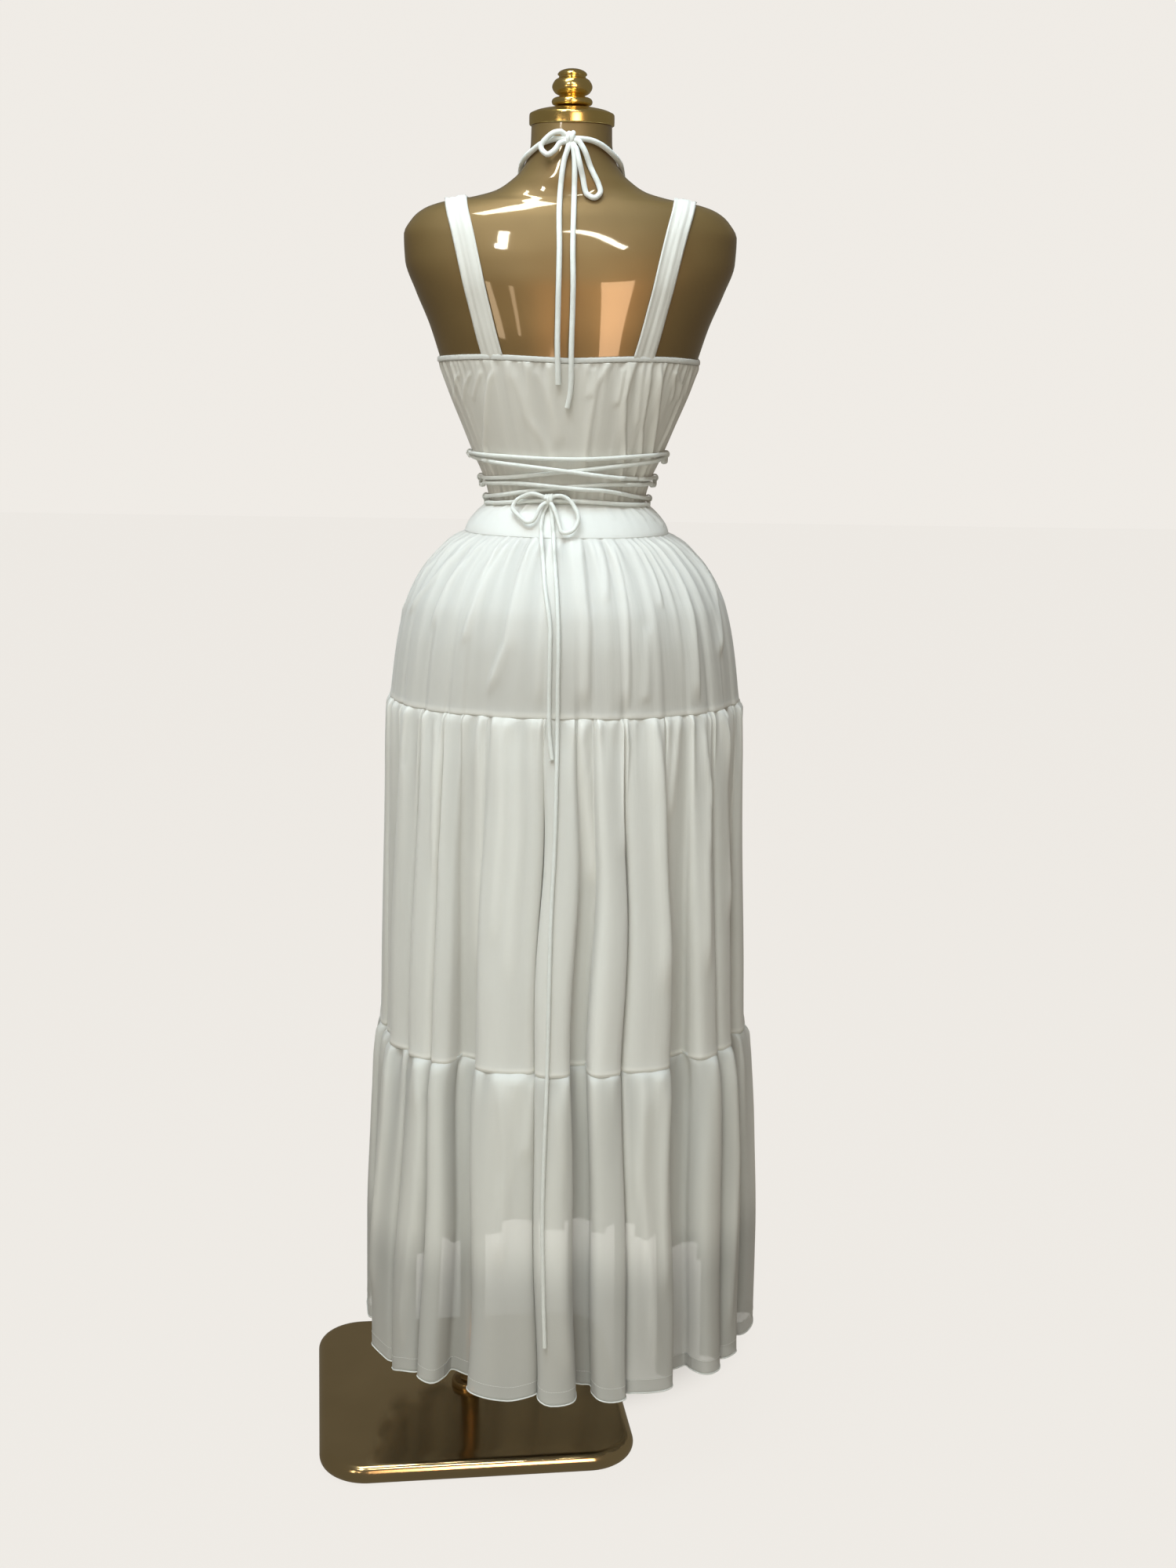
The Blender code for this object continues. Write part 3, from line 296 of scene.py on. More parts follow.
NECK_TAIL_RIGHT = (
    (-0.0030, 1.6235, 0), (-0.0048, 1.6030, 0), (-0.0045, 1.5600, 0), (-0.0042, 1.5100, 0),
    (-0.0052, 1.4600, 0), (-0.0041, 1.3980, 0), (-0.0038, 1.3480, 0), (0.0000, 1.3250, 0),
)
# Each neck cord from the bodice's front round the neck: angle, height.
NECK_ROUND = (
    (159.0, 1.4220), (159.0, 1.4550), (160.0, 1.4900), (161.0, 1.5300), (158.0, 1.5620), (142.0, 1.5760),
    (130.0, 1.5860), (106.0, 1.6020), (84.0, 1.6110), (62.0, 1.6195), (40.0, 1.6290), (22.0, 1.6340),
)
NECK_KNOT = (0.0013, 1.6350)
LACE_SPANS = {
    "a": ((0.1120, 1.2668, 0), (0.1010, 1.2668, 0), (0.0800, 1.2660, 0), (0.0400, 1.2645, 0),
          (0.0000, 1.2640, 0), (-0.0400, 1.2650, 0), (-0.0800, 1.2678, 0), (-0.1025, 1.2690, 0),
          (-0.1130, 1.2690, 0)),
    "b_down": ((0.1120, 1.2625, 0), (0.0970, 1.2605, 0), (0.0700, 1.2570, 1), (0.0300, 1.2530, 1),
               (-0.0100, 1.2485, 1), (-0.0500, 1.2435, 1), (-0.0800, 1.2400, 0), (-0.0960, 1.2388, 0)),
    "b_up": ((-0.1120, 1.2640, 0), (-0.0980, 1.2615, 0), (-0.0720, 1.2575, 0), (-0.0300, 1.2525, 0),
             (0.0100, 1.2480, 0), (0.0500, 1.2430, 0), (0.0760, 1.2395, 0), (0.0950, 1.2372, 0)),
    "c_down": ((0.0945, 1.2315, 0), (0.0895, 1.2315, 0), (0.0650, 1.2335, 0), (0.0300, 1.2325, 1),
               (-0.0100, 1.2290, 1), (-0.0480, 1.2265, 1), (-0.0740, 1.2195, 0), (-0.0905, 1.2150, 0)),
    "c_up": ((-0.0950, 1.2330, 0), (-0.0905, 1.2325, 0), (-0.0640, 1.2340, 0), (-0.0250, 1.2325, 0),
             (0.0150, 1.2290, 0), (0.0520, 1.2240, 0), (0.0720, 1.2190, 0), (0.0900, 1.2145, 0)),
    "d_left": ((0.0900, 1.2068, 0), (0.0850, 1.2075, 0), (0.0680, 1.2100, 0), (0.0460, 1.2130, 0),
               (0.0300, 1.2145, 0.4)),
    "d_right": ((-0.0905, 1.2070, 0), (-0.0855, 1.2080, 0), (-0.0700, 1.2095, 0), (-0.0450, 1.2120, 0),
                (-0.0150, 1.2140, 0), (0.0125, 1.2145, 0.4)),
    "bow_left": ((0.0300, 1.2200, 1), (0.0400, 1.2225, 1), (0.0540, 1.2175, 1), (0.0600, 1.2050, 1),
                 (0.0530, 1.1930, 1), (0.0430, 1.1890, 1), (0.0355, 1.1970, 1), (0.0305, 1.2080, 1)),
    "bow_right": ((0.0125, 1.2205, 1), (0.0000, 1.2185, 1), (-0.0105, 1.2070, 1), (-0.0150, 1.1930, 1),
                  (-0.0085, 1.1810, 1), (0.0035, 1.1780, 1), (0.0090, 1.1890, 1), (0.0120, 1.2000, 1),
                  (0.0160, 1.2085, 1)),
    "tail_short": ((0.0238, 1.2080, 0.6), (0.0280, 1.1985, 0), (0.0298, 1.1830, 0), (0.0288, 1.1700, 0),
                   (0.0270, 1.1550, 0), (0.0252, 1.1380, 0), (0.0228, 1.1150, 0), (0.0165, 1.0770, 0),
                   (0.0160, 1.0440, 0), (0.0160, 0.9615, 0), (0.0120, 0.9190, 0)),
    "tail_long": ((0.0185, 1.2075, 0.6), (0.0170, 1.1980, 0), (0.0155, 1.1830, 0), (0.0142, 1.1700, 0),
                  (0.0130, 1.1550, 0), (0.0115, 1.1380, 0), (0.0092, 1.1150, 0), (0.0068, 1.0770, 0),
                  (0.0060, 1.0440, 0), (0.0062, 0.9960, 0), (0.0060, 0.9280, 0), (0.0072, 0.8240, 0),
                  (0.0107, 0.7180, 0), (0.0126, 0.5460, 0), (0.0159, 0.3970, 0), (0.0138, 0.2830, 0),
                  (0.0112, 0.2140, 0)),
}
WAIST_KNOT = (0.0212, 1.2155)
# The thread loops on the side seams, from the top: their heights on the left and on the right.
LACE_LOOPS = ((1.2660, 1.2675), (1.2365, 1.2385), (1.2125, 1.2130))

IVORY = (0.868, 0.836, 0.791)
CAMERA_PLACE = (-0.148, 2.519, 1.40)
GLINT_DISTANCE = 2.4


# ---------------------------------------------------------------- curves and surfaces
def reader(table):
    """Reads a table at any heights, by a smooth curve through its rows that never overshoots."""
    rows = np.array(sorted(table), float)
    at, values = rows[:, 0], rows[:, 1:]
    rise = np.diff(values, axis=0) / np.diff(at)[:, None]
    slope = np.zeros_like(values)
    slope[0], slope[-1] = rise[0], rise[-1]
    same = rise[1:] * rise[:-1] > 0
    slope[1:-1] = np.where(same, 2 * rise[1:] * rise[:-1] / np.where(same, rise[1:] + rise[:-1], 1.0), 0.0)

    def read(place):
        place = np.clip(np.asarray(place, float), at[0], at[-1])
        i = np.clip(np.searchsorted(at, place) - 1, 0, len(at) - 2)
        step = (at[i + 1] - at[i])[..., None]
        t = (place - at[i])[..., None] / step
        from_low = (2 * t**3 - 3 * t**2 + 1) * values[i] + (t**3 - 2 * t**2 + t) * step * slope[i]
        from_high = (3 * t**2 - 2 * t**3) * values[i + 1] + (t**3 - t**2) * step * slope[i + 1]
        return np.moveaxis(from_low + from_high, -1, 0)

    return read


form_at = reader(FORM)
skirt_at = reader(SKIRT)
lining_at = reader(LINING)
growth_at = reader(FOLD_GROWTH)
top_edge_at = reader(TOP_EDGE)


def bump(distance, spread):
    return np.exp(-((distance / spread) ** 2))


def ease_in(share):
    """From 0 to 1 as share does, with a soft start and end."""
    t = np.clip(share, 0.0, 1.0)
    return t * t * (3 - 2 * t)


def ring(half_width, back, front, side_y, height, degrees, out):
    """Points on rounded sections round the form's midline."""
    across, along = np.sin(np.radians(degrees)), np.cos(np.radians(degrees))
    power = 2 / ROUNDNESS
    depth = np.where(along >= 0, back, front)
    x = FORM_X - (half_width + out) * np.sign(across) * np.abs(across) ** power
    y = FORM_Y + side_y + (depth + out) * np.sign(along) * np.abs(along) ** power
    return np.stack(np.broadcast_arrays(x, y, height), -1)


def body_surface(height, degrees, out=0.0):
    """Points off the form: its sections, a plain bust and a shallow groove down the spine."""
    turned = np.asarray(degrees) % 360
    from_back = np.minimum(turned, 360 - turned)
    rise = BUST_RISE * bump(height - BUST_Z, BUST_HALF_HEIGHT)
    out = out + rise * bump(180 - from_back - (180 - BUST_ANGLE), BUST_SPREAD)
    groove = SPINE_DEPTH * bump(from_back, SPINE_SPREAD) * bump(height - SPINE_Z, 0.12)
    out = out - groove * ease_in((SPINE_Z + 0.19 - height) / 0.04)
    half_width, back, front, side_y = form_at(height)
    return ring(half_width, back, front, side_y, height, degrees, out)


def around(degrees, count, seed, low, high, turn_over):
    """A smooth uneven wave round the body, with its crests at uneven places and of uneven heights."""
    draw = np.random.default_rng(seed)
    places = (np.arange(count) + draw.uniform(-0.34, 0.34, count)) * 360 / count
    heights = draw.uniform(low, high, count)
    if turn_over:
        heights = heights * np.where(np.arange(count) % 2, 1.0, -1.0)
    places = np.concatenate([[places[-1] - 360], places, [places[0] + 360]])
    heights = np.concatenate([[heights[-1]], heights, [heights[0]]])
    turned = np.asarray(degrees) % 360
    turned = np.where(turned > places[-1], turned - 360, turned)
    i = np.clip(np.searchsorted(places, turned) - 1, 0, count)
    t = ease_in((turned - places[i]) / (places[i + 1] - places[i]))
    return heights[i] + (heights[i + 1] - heights[i]) * t


def tucks(degrees, away, count, depth, reach, seed):
    """Uneven gathers that start at a seam, each fading within its own reach of it."""
    ridge = around(degrees, count, seed, 0.25, 1.0, True)
    own = around(degrees, count, seed + 1, 0.45, 1.7, False)
    held = 0.30 + 0.70 * ease_in(away / 0.007)
    return depth * ridge * held * np.exp(-((np.maximum(away, 0.0) / (reach * own)) ** 1.4))


def creases(degrees, height, radius, listed):
    """The height of all the listed creases of a piece."""
    total = np.zeros(np.broadcast(degrees, height).shape)
    for route, width, depth, lean in listed:
        places = np.array(sorted(route, key=lambda p: p[1]), float)
        low, high = places[0, 1], places[-1, 1]
        fade = 0.16 * (high - low)
        ends = ease_in((height - low) / fade) * ease_in((high + 0.3 * fade - height) / fade)
        for share, turn in ((1.0, 0.0), FRONT_TURN):
            way = np.interp(height, places[:, 1], places[:, 0]) * share + turn
            across = np.radians((degrees - way + 180) % 360 - 180) * radius
            lean_here = lean * (1 if share > 0 else -1)
            steep, flat = 1 - 0.7 * abs(lean_here), 1 + 0.6 * abs(lean_here)
            side = width * np.where(across * lean_here > 0, steep, flat)
            total = total + depth * ends * np.exp(-((across / side) ** 2))
    return total


def seam_rows(low, high, count):
    """Heights from low to high, closer together near both ends."""
    even = np.linspace(0.0, 1.0, count)
    eased = 0.55 * even + 0.45 * (0.5 - 0.5 * np.cos(math.pi * even))
    return low + (high - low) * eased


# ---------------------------------------------------------------- meshes
def add_object(name, data, finish=None):
    made = bpy.data.objects.new(name, data)
    bpy.context.scene.collection.objects.link(made)
    if finish:
        made.data.materials.append(finish)
    return made


def cloth_grid(name, points, finish, closed, wall=CLOTH, seam=None, keep=True, painted_fold_shade=None):
    """A wall of cloth on a grid of points: rows from the bottom up, columns towards larger angles."""
    rows, columns = points.shape[:2]
    spans = columns if closed else columns - 1
    mesh = bpy.data.meshes.new(name)
    r, c = np.meshgrid(np.arange(rows - 1), np.arange(spans), indexing="ij")
    right = (c + 1) % columns
    faces = np.stack([r * columns + c, r * columns + right, (r + 1) * columns + right, (r + 1) * columns + c], -1)
    mesh.from_pydata(points.reshape(-1, 3).tolist(), [], faces.reshape(-1, 4).tolist())
    ringed = np.concatenate([points, points[:, :1]], 1) if closed else points
    along = np.linalg.norm(np.diff(ringed[rows // 2], axis=0), axis=1)
    u = np.concatenate([[0.0], np.cumsum(along)])
    up = np.linalg.norm(np.diff(points[:, columns // 2], axis=0), axis=1)
    v = np.concatenate([[0.0], np.cumsum(up)])
    corners = np.stack([
        np.stack([u[c], v[r]], -1), np.stack([u[c + 1], v[r]], -1),
        np.stack([u[c + 1], v[r + 1]], -1), np.stack([u[c], v[r + 1]], -1),
    ], -2)
    layer = mesh.uv_layers.new(name="cloth")
    layer.data.foreach_set("uv", corners.reshape(-1).astype(np.float32))
    mark = mesh.attributes.new("seam", "FLOAT", "POINT")
    values = np.zeros(points.shape[:2]) if seam is None else np.broadcast_to(seam, points.shape[:2])
    mark.data.foreach_set("value", values.reshape(-1).astype(np.float32))
    # The folds' height, kept for painted shade in their hollows and a painted highlight on their crests.
    mark = mesh.attributes.new("painted_fold_shade", "FLOAT", "POINT")
    values = np.zeros(points.shape[:2]) if painted_fold_shade is None else np.broadcast_to(painted_fold_shade, points.shape[:2])
    values = np.clip(0.5 + values / 0.0050, 0.0, 1.0)
    mark.data.foreach_set("value", values.reshape(-1).astype(np.float32))
    mesh.shade_smooth()
    made = add_object(name, mesh, finish)
    if keep:
        SURFACES.append(made)
    shell = made.modifiers.new("wall", "SOLIDIFY")
    shell.thickness = wall
    shell.offset = -1.0
    shell.use_even_offset = False
    return made


SURFACES = []


def tree_of(objects):
    """A search tree of the outer faces of some pieces, before their walls are thickened."""
    points, faces = [], []
    for made in objects:
        start = len(points)
        points += [v.co.copy() for v in made.data.vertices]
        faces += [[start + i for i in face.vertices] for face in made.data.polygons]
    return BVHTree.FromPolygons(points, faces)


def smooth_route(points, spacing):
    """Points at even spacing on a smooth curve through the route's own points."""
    given = np.array([tuple(p) for p in points], float)
    ends = np.concatenate([[2 * given[0] - given[1]], given, [2 * given[-1] - given[-2]]])
    a, b, c, d = ends[:-3], ends[1:-2], ends[2:-1], ends[3:]
    t = np.linspace(0, 1, 24, endpoint=False)[None, :, None]
    fine = 0.5 * (
        2 * b[:, None] + (c - a)[:, None] * t + (2 * a - 5 * b + 4 * c - d)[:, None] * t**2
        + (3 * b - a - 3 * c + d)[:, None] * t**3
    )
    fine = np.concatenate([fine.reshape(-1, given.shape[1]), given[-1:]])
    run = np.concatenate([[0.0], np.cumsum(np.linalg.norm(np.diff(fine, axis=0), axis=1))])
    wanted = np.linspace(0, run[-1], max(3, round(run[-1] / spacing)) + 1)
    return np.stack([np.interp(wanted, run, fine[:, k]) for k in range(fine.shape[1])], -1)


def bridged(values, window):
    """The values' upper envelope, smoothed, so that a cord bridges narrow dips instead of sinking in."""
    size = max(1, int(window))
    padded = np.concatenate([np.full(size, values[0]), values, np.full(size, values[-1])])
    highest = np.array([padded[i:i + 2 * size + 1].max() for i in range(len(values))])
    padded = np.concatenate([np.full(size, highest[0]), highest, np.full(size, highest[-1])])
    return np.convolve(padded, np.ones(2 * size + 1) / (2 * size + 1), "valid")


def turned(name, profile, finish, place, sides=96, spacing=0.0012):
    """A turned piece: its profile's points are radius and height, rounded off and closed at both ends."""
    fine = smooth_route(profile, spacing) if spacing else np.array(profile)
    ways = np.linspace(0, 2 * math.pi, sides, endpoint=False)
    points = np.stack([
        place[0] + fine[:, :1] * np.cos(ways), place[1] + fine[:, :1] * np.sin(ways),
        place[2] + np.repeat(fine[:, 1:], sides, 1),
    ], -1)
    rows = len(fine)
    faces = [
        (r * sides + i, r * sides + (i + 1) % sides, (r + 1) * sides + (i + 1) % sides, (r + 1) * sides + i)
        for r in range(rows - 1) for i in range(sides)
    ]
    faces.append(tuple(reversed(range(sides))))
    faces.append(tuple((rows - 1) * sides + i for i in range(sides)))
    mesh = bpy.data.meshes.new(name)
    mesh.from_pydata(points.reshape(-1, 3).tolist(), [], faces)
    mesh.shade_smooth()
    mesh.set_sharp_from_angle(angle=math.radians(50))
    return add_object(name, mesh, finish)


# ---------------------------------------------------------------- finishes
def new_finish(name):
    made = bpy.data.materials.new(name)
    made.use_nodes = True
    return made, made.node_tree.nodes, made.node_tree.links, made.node_tree.nodes["Principled BSDF"]


def noise(nodes, links, source, scale, detail, stretch=(1, 1, 1)):
    """Noise on a piece's own coordinates, stretched along its axes."""
    fit = nodes.new("ShaderNodeMapping")
    fit.inputs["Scale"].default_value = stretch
    links.new(source, fit.inputs["Vector"])
    made = nodes.new("ShaderNodeTexNoise")
    made.inputs["Scale"].default_value = scale
    made.inputs["Detail"].default_value = detail
    links.new(fit.outputs[0], made.inputs["Vector"])
    return made.outputs["Fac"]


def bumps(nodes, links, heights):
    """One normal from several heights: (socket, distance in metres, strength)."""
    last = None
    for height, distance, strength in heights:
        made = nodes.new("ShaderNodeBump")
        made.inputs["Distance"].default_value = distance
        made.inputs["Strength"].default_value = strength
        links.new(height, made.inputs["Height"])
        if last:
            links.new(last, made.inputs["Normal"])
        last = made.outputs["Normal"]
    return last


def woven(nodes, links, cloth, threads):
    """The height of a plain weave: warp and weft threads that go over and under each other."""
    heights = []
    for direction in ("X", "Y"):
        made = nodes.new("ShaderNodeTexWave")
        made.bands_direction = direction
        made.inputs["Scale"].default_value = threads
        made.inputs["Distortion"].default_value = 0.6
        made.inputs["Detail"].default_value = 1.0
        links.new(cloth, made.inputs["Vector"])
        heights.append(made.outputs["Fac"])
    both = nodes.new("ShaderNodeMath")
    both.operation = "MULTIPLY"
    links.new(heights[0], both.inputs[0])
    links.new(heights[1], both.inputs[1])
    return both.outputs[0]


def cloth_colour(nodes, links, cloth, base, seam_colour):
    """The cloth's colour: faint uneven threads, lighter where the seam's turned-in layers lie, with painted shade
    in the hollows of folds and a painted highlight on their crests.
    """
    blotch = noise(nodes, links, cloth, 14.0, 3.0, (1.0, 0.25, 1.0))
    uneven = nodes.new("ShaderNodeValToRGB")
    uneven.color_ramp.elements[0].position = 0.30
    uneven.color_ramp.elements[0].color = (*[c * 0.955 for c in base], 1)
    uneven.color_ramp.elements[1].position = 0.72
    uneven.color_ramp.elements[1].color = (*base, 1)
    links.new(blotch, uneven.inputs["Fac"])
    mark = nodes.new("ShaderNodeAttribute")
    mark.attribute_name = "seam"
    # Painted shade and highlight: the colour goes from 0.86 of itself in fold hollows to 1.08 on fold crests.
    painted_fold_shade = nodes.new("ShaderNodeAttribute")
    painted_fold_shade.attribute_name = "painted_fold_shade"
    lift = nodes.new("ShaderNodeMapRange")
    lift.inputs["To Min"].default_value = 0.86
    lift.inputs["To Max"].default_value = 1.08
    links.new(painted_fold_shade.outputs["Fac"], lift.inputs["Value"])
    shaded = nodes.new("ShaderNodeVectorMath")
    shaded.operation = "SCALE"
    links.new(uneven.outputs["Color"], shaded.inputs[0])
    links.new(lift.outputs[0], shaded.inputs["Scale"])
    mix = nodes.new("ShaderNodeMix")
    mix.data_type = "RGBA"
    mix.inputs[7].default_value = (*seam_colour, 1)
    links.new(mark.outputs["Fac"], mix.inputs[0])
    links.new(shaded.outputs[0], mix.inputs[6])
    return mix.outputs[2]


def opaque_cloth(name, base):
    made, nodes, links, shader = new_finish(name)
    cloth = nodes.new("ShaderNodeUVMap")
    cloth.uv_map = "cloth"
    colour = cloth_colour(nodes, links, cloth.outputs[0], base, [min(0.9, c * 1.13) for c in base])
    links.new(colour, shader.inputs["Base Color"])
    shader.inputs["Roughness"].default_value = 0.82
    shader.inputs["Sheen Weight"].default_value = 0.25
    shader.inputs["Sheen Roughness"].default_value = 0.45
    shader.inputs["Specular IOR Level"].default_value = 0.25
    crinkle = noise(nodes, links, cloth.outputs[0], 110.0, 4.0, (1.0, 0.12, 1.0))
    weave = woven(nodes, links, cloth.outputs[0], 520.0)
    normal = bumps(nodes, links, ((crinkle, 0.0016, 0.35), (weave, 0.00012, 0.35)))
    links.new(normal, shader.inputs["Normal"])
    return made


def sheer_cloth(name, shown):
    """Chiffon: part of it lets the view through, and it glows a little with the light behind it. Its colour holds
    painted shade: darker below the lining's hem, and darker where it is seen through other cloth.
    """
    made, nodes, links, shader = new_finish(name)
    cloth = nodes.new("ShaderNodeUVMap")
    cloth.uv_map = "cloth"
    backed = cloth_colour(nodes, links, cloth.outputs[0], (0.985, 0.965, 0.92), (0.99, 0.98, 0.95))
    place = nodes.new("ShaderNodeTexCoord").outputs["Object"]
    split = nodes.new("ShaderNodeSeparateXYZ")
    links.new(place, split.inputs[0])
    # Painted shade: below the lining's hem the colour is darkened to 0.78 of itself, for the shaded inside of the
    # skirt seen through it.
    single = nodes.new("ShaderNodeMapRange")
    single.interpolation_type = "SMOOTHSTEP"
    single.inputs["From Min"].default_value = LINING_HEM_Z - 0.055
    single.inputs["From Max"].default_value = LINING_HEM_Z + 0.020
    single.inputs["To Min"].default_value = 0.78
    single.inputs["To Max"].default_value = 1.0
    links.new(split.outputs["Z"], single.inputs["Value"])
    painted_shade_below_lining = nodes.new("ShaderNodeVectorMath")
    painted_shade_below_lining.operation = "SCALE"
    links.new(backed, painted_shade_below_lining.inputs[0])
    links.new(single.outputs[0], painted_shade_below_lining.inputs["Scale"])
    # Painted shade: cloth seen through other cloth has its colour darkened to 0.62 of itself.
    layers = nodes.new("ShaderNodeMapRange")
    layers.inputs["From Min"].default_value = 1.0
    layers.inputs["From Max"].default_value = 2.0
    layers.inputs["To Min"].default_value = 1.0
    layers.inputs["To Max"].default_value = 0.62
    links.new(nodes.new("ShaderNodeLightPath").outputs["Transparent Depth"], layers.inputs["Value"])
    behind = nodes.new("ShaderNodeVectorMath")
    behind.operation = "SCALE"
    links.new(painted_shade_below_lining.outputs[0], behind.inputs[0])
    links.new(layers.outputs[0], behind.inputs["Scale"])
    colour = behind.outputs[0]
    links.new(colour, shader.inputs["Base Color"])
    shader.inputs["Roughness"].default_value = 0.78
    shader.inputs["Sheen Weight"].default_value = 0.2
    shader.inputs["Specular IOR Level"].default_value = 0.2
    crinkle = noise(nodes, links, cloth.outputs[0], 90.0, 4.0, (1.0, 0.10, 1.0))
    links.new(bumps(nodes, links, ((crinkle, 0.0016, 0.30),)), shader.inputs["Normal"])
    glow = nodes.new("ShaderNodeBsdfTranslucent")
    links.new(colour, glow.inputs["Color"])
    body = nodes.new("ShaderNodeMixShader")
    body.inputs[0].default_value = 0.12
    links.new(shader.outputs[0], body.inputs[1])
    links.new(glow.outputs[0], body.inputs[2])
    clear = nodes.new("ShaderNodeBsdfTransparent")
    veil = nodes.new("ShaderNodeMixShader")
    veil.inputs[0].default_value = shown
    links.new(clear.outputs[0], veil.inputs[1])
    links.new(body.outputs[0], veil.inputs[2])
    links.new(veil.outputs[0], nodes["Material Output"].inputs["Surface"])
    return made


def cord_cloth():
    made, nodes, links, shader = new_finish("tube cord")
    place = nodes.new("ShaderNodeTexCoord").outputs["Object"]
    shade = nodes.new("ShaderNodeValToRGB")
    shade.color_ramp.elements[0].color = (0.74, 0.74, 0.70, 1)
    shade.color_ramp.elements[1].color = (0.84, 0.84, 0.81, 1)
    links.new(noise(nodes, links, place, 160.0, 3.0), shade.inputs["Fac"])
    links.new(shade.outputs["Color"], shader.inputs["Base Color"])
    shader.inputs["Roughness"].default_value = 0.75
    shader.inputs["Sheen Weight"].default_value = 0.3
    shader.inputs["Specular IOR Level"].default_value = 0.3
    fine = noise(nodes, links, place, 900.0, 2.0)
    soft = noise(nodes, links, place, 220.0, 2.0)
    links.new(bumps(nodes, links, ((soft, 0.0007, 0.5), (fine, 0.00025, 0.5))), shader.inputs["Normal"])
    return made


def thread_cloth():
    made, nodes, links, shader = new_finish("sewing thread")
    place = nodes.new("ShaderNodeTexCoord").outputs["Object"]
    shade = nodes.new("ShaderNodeValToRGB")
    shade.color_ramp.elements[0].color = (0.66, 0.66, 0.63, 1)
    shade.color_ramp.elements[1].color = (0.80, 0.80, 0.77, 1)
    links.new(noise(nodes, links, place, 500.0, 1.0), shade.inputs["Fac"])
    links.new(shade.outputs["Color"], shader.inputs["Base Color"])
    shader.inputs["Roughness"].default_value = 0.6
    return made


def form_coat():
    """Bronze-gold pearl paint under a clear coat."""
    made, nodes, links, shader = new_finish("bronze pearl coat")
    place = nodes.new("ShaderNodeTexCoord").outputs["Object"]
    shade = nodes.new("ShaderNodeValToRGB")
    shade.color_ramp.elements[0].position = 0.3
    shade.color_ramp.elements[0].color = (0.172, 0.108, 0.036, 1)
    shade.color_ramp.elements[1].position = 0.75
    shade.color_ramp.elements[1].color = (0.214, 0.139, 0.050, 1)
    links.new(noise(nodes, links, place, 9.0, 2.0), shade.inputs["Fac"])
    links.new(shade.outputs["Color"], shader.inputs["Base Color"])
    shader.inputs["Metallic"].default_value = 0.35
    shader.inputs["Roughness"].default_value = 0.45
    shader.inputs["Coat Weight"].default_value = 1.0
    shader.inputs["Coat Roughness"].default_value = 0.05
    flake = noise(nodes, links, place, 700.0, 2.0)
    peel = noise(nodes, links, place, 60.0, 2.0)
    links.new(bumps(nodes, links, ((flake, 0.00005, 0.25), (peel, 0.0009, 0.16))), shader.inputs["Normal"])
    return made


def polished(name, light, dark, roughness, smudge):
    """Polished metal with faint smudges."""
    made, nodes, links, shader = new_finish(name)
    place = nodes.new("ShaderNodeTexCoord").outputs["Object"]
    cloudy = noise(nodes, links, place, 11.0, 4.0)
    shade = nodes.new("ShaderNodeValToRGB")
    shade.color_ramp.elements[0].color = (*dark, 1)
    shade.color_ramp.elements[1].color = (*light, 1)
    links.new(cloudy, shade.inputs["Fac"])
    links.new(shade.outputs["Color"], shader.inputs["Base Color"])
    shader.inputs["Metallic"].default_value = 1.0
    rough = nodes.new("ShaderNodeMapRange")
    rough.inputs["To Min"].default_value = roughness
    rough.inputs["To Max"].default_value = roughness + smudge
    links.new(cloudy, rough.inputs["Value"])
    links.new(rough.outputs[0], shader.inputs["Roughness"])
    return made


# ---------------------------------------------------------------- made by node trees
def node_tree(name, sizes):
    """An empty Geometry Nodes tree with a geometry input and named number inputs."""
    tree = bpy.data.node_groups.new(name, "GeometryNodeTree")
    tree.interface.new_socket("Geometry", in_out="INPUT", socket_type="NodeSocketGeometry")
    for label, kind, value in sizes:
        socket = tree.interface.new_socket(label, in_out="INPUT", socket_type=kind)
        if value is not None:
            socket.default_value = value
    tree.interface.new_socket("Geometry", in_out="OUTPUT", socket_type="NodeSocketGeometry")
    return tree, tree.nodes.new("NodeGroupInput"), tree.nodes.new("NodeGroupOutput")


def wire(links, *pairs):
    """Joins sockets of nodes: (node, output name, node, input name)."""
    for giver, given, taker, taken in pairs:
        links.new(giver.outputs[given], taker.inputs[taken])


def stitch_tree():
    """Short stitches laid end to end along a line, each a thread's bar that follows the line."""
    tree, given, made = node_tree("stitch line", (
        ("Pitch", "NodeSocketFloat", 0.003), ("Stitch Length", "NodeSocketFloat", 0.0022),
        ("Thread", "NodeSocketFloat", 0.0003), ("Finish", "NodeSocketMaterial", None),
    ))
    nodes, links = tree.nodes, tree.links
    line = nodes.new("GeometryNodeMeshToCurve")
    spots = nodes.new("GeometryNodeCurveToPoints")
    spots.mode = "LENGTH"
    bar = nodes.new("GeometryNodeMeshCylinder")
    bar.inputs["Vertices"].default_value = 6
    turn = nodes.new("FunctionNodeAlignRotationToVector")
    turn.axis = "Z"
    lay = nodes.new("GeometryNodeInstanceOnPoints")
    real = nodes.new("GeometryNodeRealizeInstances")
    paint = nodes.new("GeometryNodeSetMaterial")
    wire(
        links,
        (given, "Geometry", line, "Mesh"),
        (line, "Curve", spots, "Curve"),
        (given, "Pitch", spots, "Length"),
        (given, "Thread", bar, "Radius"),
        (given, "Stitch Length", bar, "Depth"),
        (spots, "Tangent", turn, "Vector"),
        (spots, "Points", lay, "Points"),
        (bar, "Mesh", lay, "Instance"),
        (turn, "Rotation", lay, "Rotation"),
        (lay, "Instances", real, "Geometry"),
        (real, "Geometry", paint, "Geometry"),
        (given, "Finish", paint, "Material"),
        (paint, "Geometry", made, "Geometry"),
    )
    return tree


